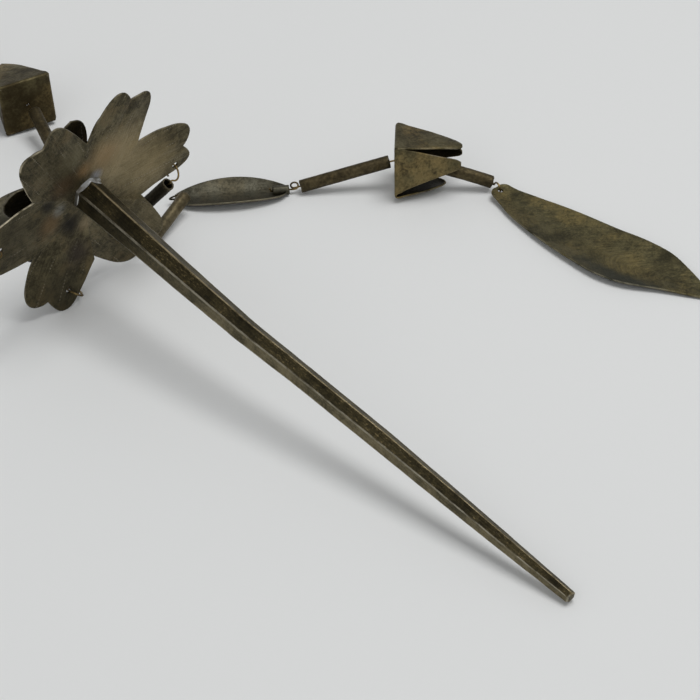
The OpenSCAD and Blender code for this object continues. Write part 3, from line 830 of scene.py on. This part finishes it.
def make_drop_finish(name, base, warm, dark, bristle, hatch, colours):
    """Olive tarnish with cloudy warm and dark places, and painted brown shade over the lower strand's bell.

    Hatching fans out across the leaves. Painted shade darkens one edge of each leaf toward its tip, and the
    insides of the bells.
    """
    f = Finish(name)
    where, wear = f.place(), f.wear()
    across, along = f.surface()
    cloud = f.noise(where, 140.0, 5.0, 0.62)
    middle = f.noise(where, 460.0, 4.0, 0.6)
    warmth = f.band(f.noise(where, 95.0, 4.0, 0.55), 0.45, 0.62)
    fine = f.noise(where, 1600.0, 4.0, 0.65)
    rub = f.noise(f.vector(across * bristle[0], along * bristle[1]), 1.0, 4.0, 0.6)
    tone = f.band(cloud * 0.38 + middle * 0.2 + rub * 0.18 + fine * 0.24, 0.38, 0.62)
    f.colour = f.mix(tone, dark, base)
    f.cover(warmth * f.band(middle * 0.5 + fine * 0.5, 0.3, 0.7), warm)
    height = rub * 0.4 + fine * 0.4 + middle * 0.4 + cloud * 0.6
    if hatch:
        fan = along - (across * across + 8.0) ** 0.5 * 1.6
        strokes = f.noise(f.vector(fan * 1.7, across * 0.22), 1.0, 4.0, 0.65)
        lines = f.band(strokes, 0.44, 0.58)
        toward_tip = f.band(along, 14.0, 40.0) * 0.7 + 0.3
        f.cover((1.0 - lines) * toward_tip * 0.32, scaled(dark, 0.7))
        # Painted shade along one edge of each leaf, toward its tip
        low = f.fade(across + middle * 2.0, -5.5, -2.5) * f.band(along, 22.0, 40.0)
        f.cover(low * 0.8, (0.045, 0.047, 0.036))
        light = f.fade(abs(along - 38.0), 0.0, 16.0) * f.fade(abs(across), 0.0, 5.0)
        f.cover(light * (lines * 0.2 + 0.2), scaled(warm, 1.1))
        height = height + lines * 0.15
    else:
        lines = f.scratches(across, along, 60, 0.33).math("MAXIMUM", f.scratches(across, along, 28, 0.3))
        f.cover(lines * f.band(middle, 0.42, 0.6) * 0.5, scaled(base, 1.7))
    rim = (wear.math("MAXIMUM", 0.0) ** 3.0) * f.band(f.noise(where, 300.0, 3.0), 0.38, 0.62)
    f.cover(rim * 0.3, colours.bright)
    # Painted shade inside the bells, on the side whose wear was lowered by 2
    f.cover(f.band(wear, -1.2, -0.4, 0.85, 0.0), scaled(dark, 0.3))
    # Painted brown shade over the lower strand's bell
    lower_bell_shade = f.patch(where, np.array(STRANDS["lower"]["bell"]) - [4, 4, 5], 22)
    f.cover(f.band(lower_bell_shade, 0.0, 0.6) * (0.95 - tone * 0.45), (0.045, 0.032, 0.013))
    rough = f.band(tone + rim * 0.5, 0.0, 1.5, 0.6, 0.42)
    return f.finish(0.93, rough, height, 0.2)


def make_tube_finish(colours):
    """Rough brown tarnish that has flaked into scales. The first tube of each strand is nearly black."""
    f = Finish("rolled_brass")
    where, wear = f.place(), f.wear()
    around, along = f.surface()
    scales = f.add("ShaderNodeTexVoronoi", {"feature": "F1"}, f.vector(around * 1.3, along), Scale=1.0)
    cloud = f.noise(where, 160.0, 4.0, 0.6)
    fine = f.noise(where, 1500.0, 4.0, 0.7)
    tone = f.band(scales * 0.12 + cloud * 0.5 + fine * 0.3, 0.28, 0.68)
    f.colour = f.mix(tone, scaled(colours.brown, 0.35), scaled(colours.brown, 1.35))
    gold = f.band(f.noise(where, 420.0, 4.0, 0.7), 0.54, 0.68)
    f.cover(gold * 0.3, scaled(colours.wire, 0.5))
    f.cover((wear ** 3.0) * 0.25, colours.bright)
    for s in STRANDS.values():
        first = f.patch(where, np.mean(s["tube_1"], 0), 13)
        f.cover(f.band(first, 0.02, 0.3) * 0.85, (0.014, 0.012, 0.007))
    second = f.patch(where, np.mean(STRANDS["right"]["tube_2"], 0), 13)
    f.cover(f.band(second, 0.02, 0.3) * (tone * 0.7 + 0.15), (0.2, 0.165, 0.095))
    height, rough = scales * 0.3 + fine * 0.4 + cloud * 0.4, f.band(tone, 0.0, 1.0, 0.62, 0.45)
    return f.finish(0.9, rough, height, 0.15)


def make_wire_finish(colours):
    """Golden wire with brown stains, darkened where it enters the right strand's boat."""
    f = Finish("drawn_wire")
    where = f.place()
    stain = f.band(f.noise(where, 420.0, 3.0), 0.4, 0.62)
    fine = f.noise(where, 2500.0, 3.0)
    f.colour = f.mix(stain, colours.wire, scaled(colours.wire, 0.3))
    darkened_at_boat = f.patch(where, STRANDS["right"]["boat"][0], 5)
    f.cover(f.band(darkened_at_boat, 0.0, 0.5) * 0.9, (0.03, 0.026, 0.015))
    rough = f.band(stain, 0.0, 1.0, 0.32, 0.5)
    return f.finish(0.95, rough, fine, 0.03)


def make_table_finish(colours):
    """Plain pale paper."""
    f = Finish("table")
    where = f.place()
    paper = f.noise(where, 900.0, 3.0)
    cloud = f.noise(where, 5.0, 2.0)
    f.colour = f.mix(cloud, scaled(colours.table, 0.985), colours.table)
    return f.finish(0.0, 0.75, paper, 0.02)


def finishes(context):
    """All finishes, made once."""
    if "petal_silver" not in bpy.data.materials:
        c = context.scene.hair_stick_colours
        make_petal_finish("petal_silver", 0, c)
        # The front layer's copy, darkened all over as painted shade
        make_petal_finish("front_silver", 0.6, c)
        make_stick_finish(c)
        make_solder_finish(c)
        for row in DROP_FINISHES:
            make_drop_finish(*row, c)
        make_tube_finish(c)
        make_wire_finish(c)
    return bpy.data.materials


# Objects

def linked(context, name, data):
    """A new object in the scene."""
    piece = bpy.data.objects.new(name, data)
    context.scene.collection.objects.link(piece)
    return piece


def put(context, mesh, material, slot, *nodes):
    """Gives a mesh its object and finish, hangs it from the root body and hides the parts of the frame that
    it stands for.
    """
    piece = linked(context, mesh.name, mesh)
    if material is not None:
        mesh.materials.clear()
        mesh.materials.append(material)
    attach(piece, "root")
    if nodes:
        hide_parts(*nodes)
    return piece


def plain_mesh(context, piece):
    """Turns an object with its modifiers into a mesh of its own, and deletes the object."""
    context.view_layer.update()
    mesh = bpy.data.meshes.new_from_object(piece.evaluated_get(context.evaluated_depsgraph_get()))
    name, old = piece.data.name, piece.data
    bpy.data.objects.remove(piece)
    bpy.data.meshes.remove(old)
    mesh.name = name
    return mesh


def pierce(context, mesh, holes, width):
    """Drills round holes, each given by its middle and direction in millimetres."""
    piece = linked(context, mesh.name, mesh)
    radius, tools = width / 2 * MM, []
    for middle, way in holes:
        drill = bmesh.new()
        bmesh.ops.create_cone(drill, cap_ends=True, segments=28, radius1=radius, radius2=radius,
                              depth=8 * MM)
        turn = Vector(Z_AXIS).rotation_difference(Vector(way)).to_matrix().to_4x4()
        drill.transform(Matrix.Translation(Vector(metres(middle))) @ turn)
        tool_mesh = bpy.data.meshes.new("drill")
        drill.to_mesh(tool_mesh)
        drill.free()
        tool = linked(context, "drill", tool_mesh)
        tools.append(tool)
        cut = piece.modifiers.new("drill", "BOOLEAN")
        cut.operation, cut.solver, cut.object = "DIFFERENCE", "EXACT", tool
    cut_mesh = plain_mesh(context, piece)
    for tool in tools:
        bpy.data.meshes.remove(tool.data)
    cut_mesh.shade_smooth()
    return cut_mesh


def run_tree(context, mesh, tree, values):
    """Runs a geometry tree on a mesh and returns the plain mesh that comes out."""
    piece = linked(context, mesh.name, mesh)
    modifier = piece.modifiers.new(tree.name, "NODES")
    modifier.node_group = tree
    for socket in tree.interface.items_tree:
        if socket.item_type == "SOCKET" and socket.in_out == "INPUT" and socket.name in values:
            modifier[socket.identifier] = values[socket.name]
    return plain_mesh(context, piece)


def wire_tree():
    """Sweeps a round wire along a line of points."""
    g = GeometryTree("Drawn wire", Radius="Float", Sides="Int")
    line = g.add("GeometryNodeMeshToCurve", {}, Mesh=g.inputs["Geometry"])
    ring = g.add("GeometryNodeCurvePrimitiveCircle", {}, Resolution=g.inputs["Sides"],
                 Radius=g.inputs["Radius"])
    sweep = g.add("GeometryNodeCurveToMesh", {}, Curve=line, Profile_Curve=ring, Fill_Caps=True)
    shade = g.add("GeometryNodeSetShadeSmooth", {}, Geometry=sweep)
    return g.end(g.add("GeometryNodeRealizeInstances", {}, Geometry=shade))


def petal_ring_tree():
    """Repeats one petal round the Z axis and joins the petals into one layer."""
    g = GeometryTree("Ring of petals", Count="Int", Join_Distance="Float")
    count = g.inputs["Count"]
    points = g.add("GeometryNodeMeshLine", {}, Count=count, Offset=(0, 0, 0))
    turn = g.add("GeometryNodeInputIndex", {}) / count * (2 * math.pi)
    petals = g.add("GeometryNodeInstanceOnPoints", {}, Points=points, Instance=g.inputs["Geometry"],
                   Rotation=g.add("ShaderNodeCombineXYZ", {}, Z=turn))
    solid = g.add("GeometryNodeRealizeInstances", {}, Geometry=petals)
    distance = g.inputs["Join Distance"]
    return g.end(g.add("GeometryNodeMergeByDistance", {}, Geometry=solid, Distance=distance))


# Sizes and colours that a user can change

def size(name, description, default, low, high):
    return FloatProperty(name=name, description=f"{description} in millimetres", default=default,
                         min=low, max=high)


def tint(name, description, default):
    return FloatVectorProperty(name=name, description=description, default=default, subtype="COLOR",
                               min=0, max=1)


class HairStickSizes(bpy.types.PropertyGroup):
    """Sizes of the sheet and wire"""
    petal_sheet: size("Petal sheet", "Thickness of the petals", 0.5, 0.4, 0.6)
    drop_sheet: size("Drop sheet", "Thickness of boats, bells and leaves", 0.5, 0.4, 0.6)
    tube_wall: size("Tube wall", "Thickness of the tubes' walls", 0.35, 0.3, 0.5)
    wire: size("Wire", "Diameter of the wires", 0.45, 0.4, 0.5)
    front_petals: IntProperty(
        name="Front petals", description="Number of petals in the front layer", default=10, min=6, max=12)


class HairStickColours(bpy.types.PropertyGroup):
    """Colours of the finishes"""
    dark: tint("Dark silver", "Tarnish of the stick and petals", (0.098, 0.083, 0.046))
    bright: tint("Bare metal", "Worn rims and corners", (0.46, 0.41, 0.3))
    solder: tint("Solder", "Solder at the stick's root", (0.42, 0.42, 0.41))
    brown: tint("Tubes", "Tarnish of the tubes", (0.10, 0.078, 0.04))
    wire: tint("Wire", "Colour of the wires", (0.3, 0.21, 0.085))
    table: tint("Table", "Colour of the table", (0.825, 0.835, 0.83))


# Operators

class HAIRSTICK_OT_stick(bpy.types.Operator):
    """Makes the six-sided stick"""
    bl_idname = "hairstick.stick"
    bl_label = "Stick"

    def execute(self, context):
        tip = [STICK_LENGTH - 0.12, STICK_LENGTH]
        heights = np.concatenate([np.linspace(0, STICK_LENGTH - RIM_STEP, 170), tip])
        at, widths, bows = STICK_TAPER.T
        width = ROOT_WIDTH + (TIP_WIDTH - ROOT_WIDTH) * np.interp(heights / STICK_LENGTH, at, widths)
        bow = -STICK_BOW * np.interp(heights / STICK_LENGTH, at, bows)
        soften = np.hanning(9) / np.hanning(9).sum()
        width, bow = (np.convolve(np.pad(v, 4, "edge"), soften, "valid") for v in (width, bow))
        turns = np.concatenate([60 * j + np.array(FACE_STEPS) for j in range(6)] + [[360]])
        into = from_corner(turns)
        radius = np.minimum(hexagon(into), 0.985 - 0.006 * hump(into, 2)) - 0.014 * smooth(into, 4, 30)
        shrink = np.ones(len(heights))
        shrink[-2:] = (0.96, 0.86)
        twist = CORNER_TURN + 1.2 * np.array([noise.noise(Vector((h / 40, 3.1, 0))) for h in heights])
        angle = np.radians(twist[:, None] + turns)
        reach = width[:, None] / 2 * radius * shrink[:, None]
        x, y = reach * np.cos(angle) + bow[:, None], reach * np.sin(angle) + ROOT_UP
        grid = stacked(x, y, heights[:, None])
        dent = waver(grid[:, :-1], 5, 1) * 0.07 + waver(grid[:, :-1], 1.6, 2) * 0.022
        dent = np.concatenate([dent, dent[:, :1]], 1) * (1 - hump(into, 3.6) * 0.3) - 0.03
        grid[..., 0] += dent * np.cos(angle)
        grid[..., 1] += dent * np.sin(angle)
        grid[:, -1] = grid[:, 0]
        flat = stacked(turns, heights[:, None])
        wear = np.tile(hump(into, 4.8), (len(heights), 1))
        wear[-3:] = np.array([0.3, 1, 1])[:, None]
        shape = Shape().add(from_flower(grid), grid_faces(grid), flat, wear)
        count = len(turns)
        for end, height in ((0, 0), (-1, STICK_LENGTH)):
            middle, ring = from_flower([bow[end], ROOT_UP, height]), from_flower(grid[end])
            inner = middle + (ring - middle) * 0.9
            faces = [[i, i + 1, count + i + 1, count + i] for i in range(count - 1)]
            faces += [[count + i, count + i + 1, 2 * count] for i in range(count - 1)]
            shape.add(np.concatenate([ring, inner, [middle]]), faces,
                      [*flat[end], *flat[end], flat[end][0]], [1] * count + [0.35] * count + [0.1])
        put(context, shape.mesh("stick"), finishes(context)["stick_silver"], "dark_silver", "pin")
        return {"FINISHED"}


class HAIRSTICK_OT_solder(bpy.types.Operator):
    """Makes the solder that has run round the stick's root"""
    bl_idname = "hairstick.solder"
    bl_label = "Solder"

    def execute(self, context):
        angles = np.radians(np.arange(0, 361, 5.0))
        angles[-1] = angles[0]
        side = hexagon(from_corner(np.degrees(angles) - CORNER_TURN))
        blob, run = hump(degrees_from(angles, 45), 26), hump(degrees_from(angles, 92), 50)
        lumps = np.array([noise.noise(Vector((math.cos(a) * 1.6, math.sin(a) * 1.6, 5))) for a in angles])
        rows = []
        for height, out in SOLDER_SECTION:
            spread = out if out < 0 else out * (0.15 + 0.85 * run) + (0.7 * blob + 0.5 * lumps) * out
            radius = ROOT_WIDTH / 2 * (side * 0.7 + 0.3) * 0.985 + spread
            rise = height + 0.3 * blob * (out > 0.5)
            rows.append(stacked(radius * np.cos(angles), radius * np.sin(angles) + ROOT_UP, rise))
        foot = rows[0] * [0.7, 0.7, 0] + [0, ROOT_UP * 0.3, 0.05]
        grid = np.array([foot, *rows, foot])
        shape = Shape().add(from_flower(grid), grid_faces(grid), grid[..., :2], np.zeros(grid.shape[:2]))
        put(context, shape.mesh("solder"), finishes(context)["solder_silver"], "dark_silver")
        return {"FINISHED"}


class HAIRSTICK_OT_back_petals(bpy.types.Operator):
    """Makes the back layer of six two-lobed petals, pierced for the three strands"""
    bl_idname = "hairstick.back_petals"
    bl_label = "Back petals"

    def execute(self, context):
        steps = 44
        shares = steps_to_rim(30, PETAL_LENGTH)
        grids, flats = [], []
        middles = [p[0] for p in BACK_PETALS]
        for k, (middle, share, lift, growth) in enumerate(BACK_PETALS):
            after = (middles + [middles[0] + 360])[k + 1] - middle
            before = middle - ([middles[-1] - 360] + middles)[k]
            off = np.linspace(-30, 30, steps + 1)
            angle = np.radians(middle + off / 30 * np.where(off < 0, before, after) / 2)
            length = PETAL_LENGTH * share * rounded(BACK_OUTLINE, np.abs(off))
            r = BACK_START + (length - BACK_START) * shares[:, None]
            bent = (lift + growth * off / 10) * (r / PETAL_LENGTH) ** 2
            across = r * np.sin(angle - math.radians(middle))
            forward = r * np.cos(angle - math.radians(middle))
            inside = 1 - smooth(np.abs(off), 22, 30)
            lobes = 0.28 * np.cos(2 * math.pi * across / (0.62 * PETAL_LENGTH)) * smooth(r, 6, 20) * inside
            crease = -0.22 * hump(across, 0.9) * smooth(r, 16, 26) * inside
            grids.append(stacked(r * np.cos(angle), r * np.sin(angle), bent + lobes + crease))
            flats.append(stacked(across, forward))
        grid = np.concatenate(grids, 1)
        grid[..., 2] += 0.22 * waver(grid, 9, 4) + 0.05 * waver(grid, 2.5, 5)
        for seam in range(steps, grid.shape[1], steps + 1):
            grid[:, seam] = grid[:, (seam + 1) % grid.shape[1]]
        grid = np.concatenate([grid, grid[:, :1]], 1)
        flat = np.concatenate(flats + [flats[0][:, :1]], 1)
        thickness = context.scene.hair_stick_sizes.petal_sheet
        sheet = thick_sheet(grid, thickness, flat, Z_AXIS, rims=(1, 1, 0, 0))
        shape = Shape().add(*sheet).place(from_flower).place(above_table)
        holes = [(s["hole"] + flower_way(HOLE_SHIFT), flower_way(Z_AXIS)) for s in STRANDS.values()]
        mesh = pierce(context, shape.mesh("back_petals"), holes, PETAL_HOLE)
        put(context, mesh, finishes(context)["petal_silver"], "dark_silver", "pin")
        return {"FINISHED"}


class HAIRSTICK_OT_front_petals(bpy.types.Operator):
    """Makes the front layer of rounded, cupped petals"""
    bl_idname = "hairstick.front_petals"
    bl_label = "Front petals"

    def execute(self, context):
        sizes = context.scene.hair_stick_sizes
        room = math.radians(180 / sizes.front_petals)
        off = np.linspace(-1, 1, 25)
        inner = POST_WIDTH / 2 + 0.1
        shares = steps_to_rim(20, FRONT_LENGTH)
        r = inner + (FRONT_LENGTH * rounded(FRONT_OUTLINE, np.abs(off)) - inner) * shares[:, None]
        angle = np.broadcast_to(room * off, r.shape)
        reach = np.maximum(0, r - BOSS_WIDTH / 2) / (FRONT_LENGTH - BOSS_WIDTH / 2)
        lift = -LAYER_GAP - FRONT_CUP * reach ** 1.6
        across = r * np.sin(angle)
        hollow = 0.5 * (1 - off ** 2) * smooth(r, 6, 14)
        crease = 0.14 * hump(across, 0.5) * smooth(r, 7, 11)
        grid = stacked(r * np.cos(angle), across, lift + (hollow - crease))
        flat = stacked(across, r * np.cos(angle))
        sheet = thick_sheet(grid, sizes.petal_sheet, flat, Z_AXIS, rims=(1, 1, 0, 0))
        petal = Shape().add(*sheet).place(lambda p: p + CENTRE).mesh("front_petals_detail")
        metal = finishes(context)["front_silver"]
        layer = run_tree(context, petal, petal_ring_tree(),
                         {"Count": sizes.front_petals, "Join Distance": 0.01 * MM, "Finish": metal})
        turn = Matrix.Rotation(math.radians(FRONT_TURN), 4, "Z")
        axes = Matrix(flower_way(np.eye(3)).T.tolist()).to_4x4()
        layer.transform(Matrix.Translation(Vector(metres(FLOWER))) @ axes @ turn)
        clean(layer)
        put(context, layer, None, "dark_silver", "front_petals")
        return {"FINISHED"}


class HAIRSTICK_OT_boss(bpy.types.Operator):
    """Makes the spacer between the petal layers and the domed boss on the front"""
    bl_idname = "hairstick.boss"
    bl_label = "Boss"

    def execute(self, context):
        head = LAYER_GAP + 0.35
        rim, neck, spacer = BOSS_WIDTH / 2, POST_WIDTH / 2 - 0.05, SPACER_WIDTH / 2
        angles = np.linspace(0, math.pi / 2, 14)
        dome = [(rim * math.sin(a), -head - BOSS_DOME * math.cos(a)) for a in angles]
        profile = dome + [(rim - 0.12, -head + 0.08), (neck + 0.25, -head + 0.08), (neck, -head + 0.12),
                          (neck, -LAYER_GAP + 0.35), (spacer, -LAYER_GAP + 0.4), (spacer, -0.3), (0, -0.2)]
        shape = Shape().add(*lathe(profile, 48)).place(from_flower)
        put(context, shape.mesh("boss"), finishes(context)["petal_silver"], "dark_silver", "pin")
        return {"FINISHED"}


class HAIRSTICK_OT_wires(bpy.types.Operator):
    """Makes the rings, links and long wires that hold the strands together"""
    bl_idname = "hairstick.wires"
    bl_label = "Wires"

    def execute(self, context):
        metal = finishes(context)["drawn_wire"]
        radius = context.scene.hair_stick_sizes.wire / 2 * MM
        tree = wire_tree()
        routes = {"ring_wire": ring_route, "link_wire": link_route, "thread_wire": thread_route}
        for name, s in STRANDS.items():
            for piece, route in routes.items():
                points = metres(route(s))
                points = points[np.append(True, np.linalg.norm(np.diff(points, axis=0), axis=1) > 1e-5)]
                line = bpy.data.meshes.new(f"{name}_{piece}_detail")
                line.from_pydata(points.tolist(), [(i, i + 1) for i in range(len(points) - 1)], [])
                made = run_tree(context, line, tree, {"Radius": radius, "Sides": 12, "Finish": metal})
                put(context, made, None, "wire", f"{name}_{piece}")
        return {"FINISHED"}


class HAIRSTICK_OT_tubes(bpy.types.Operator):
    """Makes the straight and the curved tubes"""
    bl_idname = "hairstick.tubes"
    bl_label = "Tubes"

    def execute(self, context):
        metal = finishes(context)["rolled_brass"]
        wall = context.scene.hair_stick_sizes.tube_wall
        widths = {"first_tube": SMALL_TUBE, "second_tube": SMALL_TUBE, "third_tube": TUBE,
                  "curved_tube": TUBE}
        for i, (name, s) in enumerate(STRANDS.items()):
            for j, (piece, width) in enumerate(widths.items()):
                if piece == "curved_tube":
                    path = [curved_point(s, a) for a in np.linspace(0, CURVED_TURN, 32)]
                else:
                    start, end = np.array(s[f"tube_{j + 1}"])
                    path = np.linspace(start, end, int(np.linalg.norm(end - start) / 0.7))
                shape = Shape().add(*rolled_tube(path, width, wall, 21 + 4 * i + j))
                put(context, shape.mesh(f"{name}_{piece}_detail"), metal, "tube_brass", f"{name}_{piece}")
        return {"FINISHED"}


class HAIRSTICK_OT_boats(bpy.types.Operator):
    """Makes the dished drops with a rolled neck at each end"""
    bl_idname = "hairstick.boats"
    bl_label = "Boats"

    def execute(self, context):
        metal = finishes(context)["boat_silver"]
        sheet = context.scene.hair_stick_sizes.drop_sheet
        for seed, (name, s) in enumerate(STRANDS.items()):
            ends = np.array(s["boat"])
            half = np.linalg.norm(ends[1] - ends[0]) / 2
            x = np.sin(np.linspace(-math.pi / 2, math.pi / 2, 56)) * (half - 0.6)
            room = half - np.where(x < 0, 0.4, 0.8)
            w = np.cos(math.pi / 2 * np.clip(np.abs(x) / room, 0, 1))
            w = np.where(np.abs(x) < room, w, 0) ** BOAT_POINT
            v = across_steps(22, BOAT_WIDTH)
            y = v * (1.0 + (BOAT_WIDTH / 2 - 1.0) * w[:, None])
            floor = TABLE_GAP + sheet / 2 - ends[0][2]
            z = (BOAT_DEPTH * np.abs(v) ** 2.3 + 0.1 * v) * w[:, None] + floor
            z += BOAT_CURL * v ** 2 * (1 - w[:, None]) ** 3
            grid = stacked(x[:, None], y, z)
            grid[..., 2] += np.maximum(0, 0.08 + 0.12 * waver(grid, 5, 40 + seed)) * (1 - v ** 4)
            shape = Shape().add(*thick_sheet(grid, sheet, stacked(y, x[:, None]), Z_AXIS))
            for i, sign in enumerate((-1, 1)):
                path = [[sign * (half - t * NECKS[i]), 0, 0] for t in np.linspace(0, 1, 10)]
                shape.add(*rolled_tube(path, NECK_WIDTH, NECK_WALL, 50 + seed + i, seam=100))
            yaw = math.degrees(math.atan2(*(ends[1] - ends[0])[1::-1]))
            shape.move(turn_about("Z", yaw), (ends[0] + ends[1]) / 2)
            put(context, shape.mesh(f"{name}_boat_detail"), metal, "olive_silver", f"{name}_boat")
        return {"FINISHED"}


class HAIRSTICK_OT_bells(bpy.types.Operator):
    """Makes the bells: a square base with four flaps folded forward"""
    bl_idname = "hairstick.bells"
    bl_label = "Bells"

    def execute(self, context):
        metal = finishes(context)["bell_brass"]
        sheet = context.scene.hair_stick_sizes.drop_sheet
        outward, across = -np.eye(3)[0], across_steps(14, BELL_SIDE)
        inner, fold = BELL_SIDE / 2 - sheet / 2 - BELL_FOLD, 8
        for seed, (name, s) in enumerate(STRANDS.items()):
            turns = s["bell_turn"]
            turn = turn_about("Z", turns[2]) @ turn_about("Y", turns[1]) @ turn_about("X", turns[0])
            base = stacked(sheet / 2, across[:, None] * inner, across * inner)
            dish = 0.12 * (waver(base, 6, 50 + seed) + 1) * (1 - across[:, None] ** 2)
            base[..., 0] += dish * (1 - across ** 2)
            square = thick_sheet(base, sheet, base[..., 1:], outward, rims=(0, 0, 0, 0))
            shape = Shape().add(*marked_for_inside_shade(square, base))
            for i, (lean, share, cut, low, swell) in enumerate(FLAPS):
                lean, long = math.radians(lean), FLAP_LENGTH * share
                bent = np.linspace(0, math.pi / 2 + lean, fold)
                rise = stacked(sheet / 2 + BELL_FOLD * (1 - np.cos(bent)), inner + BELL_FOLD * np.sin(bent))
                sx, sz = rise[-1]
                u = np.append(np.linspace(0.05, 0.975, 28), 1.0)
                on = (long - sx) * u
                level = sz - on * math.sin(lean) + swell * np.sin(math.pi * u) * u
                flap = stacked(sx + on * math.cos(lean), level)
                line = np.concatenate([rise, flap])
                far = np.clip((line[:, 0] - sx) / (long - sx), 0, 1)
                half = rounded(FLAP_OUTLINE, far) * BELL_SIDE - 0.4 * smooth(far, 0, 0.15)
                half = np.minimum(half, BELL_SIDE / 2 - 0.15)
                half[:fold] = inner + (half[fold] - inner) * smooth(np.arange(fold), 0, fold - 1)
                trim = (0.5 + far) * smooth(np.arange(len(line)), 1, fold)
                trim = np.where(across * low > 0, cut, 0) * trim[:, None]
                y = across * half[:, None] * (1 - trim)
                level = line[:, 1:] - 0.3 * (across ** 2) * far[:, None]
                grid = stacked(line[:, :1], y, level)
                grid[..., 2] += 0.14 * waver(grid + 31 * i, 4.5, 60 + seed) * far[:, None]
                normals = np.cross(np.gradient(grid, axis=0), np.gradient(grid, axis=1))
                normals[0], normals[-1] = outward, normals[-2]
                flat = stacked(y, line[:, :1])
                side = thick_sheet(grid, sheet, flat, normals, rims=(0, 1, 1, 1), pinched=True)
                points, *rest = marked_for_inside_shade(side, grid)
                shape.add(points @ turn_about("X", 90 * i).T, *rest)
            shape.move(turn, s["bell"])
            mesh = pierce(context, shape.mesh(f"{name}_bell_detail"), [(s["bell"], turn[:, 0])], BELL_HOLE)
            put(context, mesh, metal, "olive_silver", f"{name}_bell")
        return {"FINISHED"}


class HAIRSTICK_OT_leaves(bpy.types.Operator):
    """Makes the long leaves at the strands' ends"""
    bl_idname = "hairstick.leaves"
    bl_label = "Leaves"

    def execute(self, context):
        metal = finishes(context)["leaf_brass"]
        sheet = context.scene.hair_stick_sizes.drop_sheet
        for seed, (name, s) in enumerate(STRANDS.items()):
            hole = np.array(s["leaf_hole"])
            rise = hole[2] - sheet / 2 - TABLE_GAP
            u = (1 - np.cos(np.linspace(0, math.pi, 72))) / 2
            w = rounded(LEAF_OUTLINE, u) * np.sqrt(1 - np.clip(1 - (u + 0.003) / 0.03, 0, 1) ** 2)
            v = across_steps(20, LEAF_WIDTH)
            along = (u * LEAF_LENGTH - LEAF_BACK)[:, None]
            across = v * LEAF_WIDTH / 2 * w[:, None]
            z = rise * np.maximum(0, 1 - 5 * u)[:, None] ** 2 - rise
            z = z + LEAF_CUP * v ** 2 * w[:, None]
            grid = stacked(along, across + rounded(LEAF_BEND, u)[:, None], z)
            ridge = hump(v * LEAF_WIDTH, 1.4)
            lift = 0.1 + 0.18 * waver(grid, 8, 80 + seed) + 0.1 * ridge
            grid[..., 2] += np.maximum(0, lift) * smooth(u, 0.05, 0.2)[:, None] * (1 - v ** 6)
            shape = Shape().add(*thick_sheet(grid, sheet, stacked(across, along), Z_AXIS))
            shape.move(turn_about("Z", s["leaf_yaw"]), hole)
            mesh = pierce(context, shape.mesh(f"{name}_leaf_detail"), [(hole, Z_AXIS)], LEAF_HOLE)
            put(context, mesh, metal, "olive_silver", f"{name}_leaf")
        return {"FINISHED"}


class HAIRSTICK_OT_stage(bpy.types.Operator):
    """Makes the table, the lights and the camera"""
    bl_idname = "hairstick.stage"
    bl_label = "Stage"

    def execute(self, context):
        scene = context.scene
        scene.view_settings.view_transform = "Standard"
        half = TABLE_SIDE / 2
        mesh = bpy.data.meshes.new("table")
        corners = [(-half, -half, 0), (half, -half, 0), (half, half, 0), (-half, half, 0)]
        mesh.from_pydata(corners, [], [(0, 1, 2, 3)])
        mesh.materials.append(make_table_finish(scene.hair_stick_colours))
        linked(context, "table", mesh)
        for name, (way, distance, width, power) in LIGHTS.items():
            data = bpy.data.lights.new(name, "AREA")
            data.shape, data.size, data.energy = "DISK", width, power
            lamp = linked(context, name, data)
            lamp.location = Vector(way).normalized() * distance
            lamp.rotation_euler = Vector(way).to_track_quat("Z", "Y").to_euler()
        scene.world = bpy.data.worlds.new("room")
        scene.world.use_nodes = True
        room = Nodes(scene.world.node_tree)
        height = room.add("ShaderNodeSeparateXYZ", {}, room.add("ShaderNodeTexCoord", {}), output=2)
        background = room.tree.nodes["Background"]
        room.give(background.inputs["Color"], room.add("ShaderNodeValToRGB", {"stops": SKY}, height))
        room.give(background.inputs["Strength"], SKY_STRENGTH)
        data = bpy.data.cameras.new("camera")
        data.sensor_fit, data.sensor_width, data.lens = "HORIZONTAL", SENSOR, LENS
        data.clip_start, data.clip_end = 0.01, 20.0
        camera = linked(context, "camera", data)
        camera.location = Vector(CAMERA_PLACE) * MM
        aim = Vector(CAMERA_AIM) * MM
        camera.rotation_euler = (aim - camera.location).to_track_quat("-Z", "Y").to_euler()
        scene.camera = camera
        return {"FINISHED"}


class HAIRSTICK_PT_panel(bpy.types.Panel):
    """Lists the sizes, the colours and the pieces"""
    bl_idname = "HAIRSTICK_PT_panel"
    bl_label = "Hair stick"
    bl_space_type = "VIEW_3D"
    bl_region_type = "UI"
    bl_category = "Hair stick"

    def draw(self, context):
        for group in (context.scene.hair_stick_sizes, context.scene.hair_stick_colours):
            for name in group.__annotations__:
                self.layout.prop(group, name)
        for operator in OPERATORS:
            self.layout.operator(operator.bl_idname)


OPERATORS = (HAIRSTICK_OT_stage, HAIRSTICK_OT_stick, HAIRSTICK_OT_solder, HAIRSTICK_OT_back_petals,
             HAIRSTICK_OT_front_petals, HAIRSTICK_OT_boss, HAIRSTICK_OT_wires, HAIRSTICK_OT_tubes,
             HAIRSTICK_OT_boats, HAIRSTICK_OT_bells, HAIRSTICK_OT_leaves)
CLASSES = (HairStickSizes, HairStickColours, *OPERATORS, HAIRSTICK_PT_panel)


def register():
    for c in CLASSES:
        bpy.utils.register_class(c)
    bpy.types.Scene.hair_stick_sizes = PointerProperty(type=HairStickSizes)
    bpy.types.Scene.hair_stick_colours = PointerProperty(type=HairStickColours)


def unregister():
    del bpy.types.Scene.hair_stick_colours
    del bpy.types.Scene.hair_stick_sizes
    for c in reversed(CLASSES):
        bpy.utils.unregister_class(c)


def main():
    register()
    for operator in OPERATORS:
        group, name = operator.bl_idname.split(".")
        getattr(getattr(bpy.ops, group), name)()


if __name__ == "__main__":
    main()
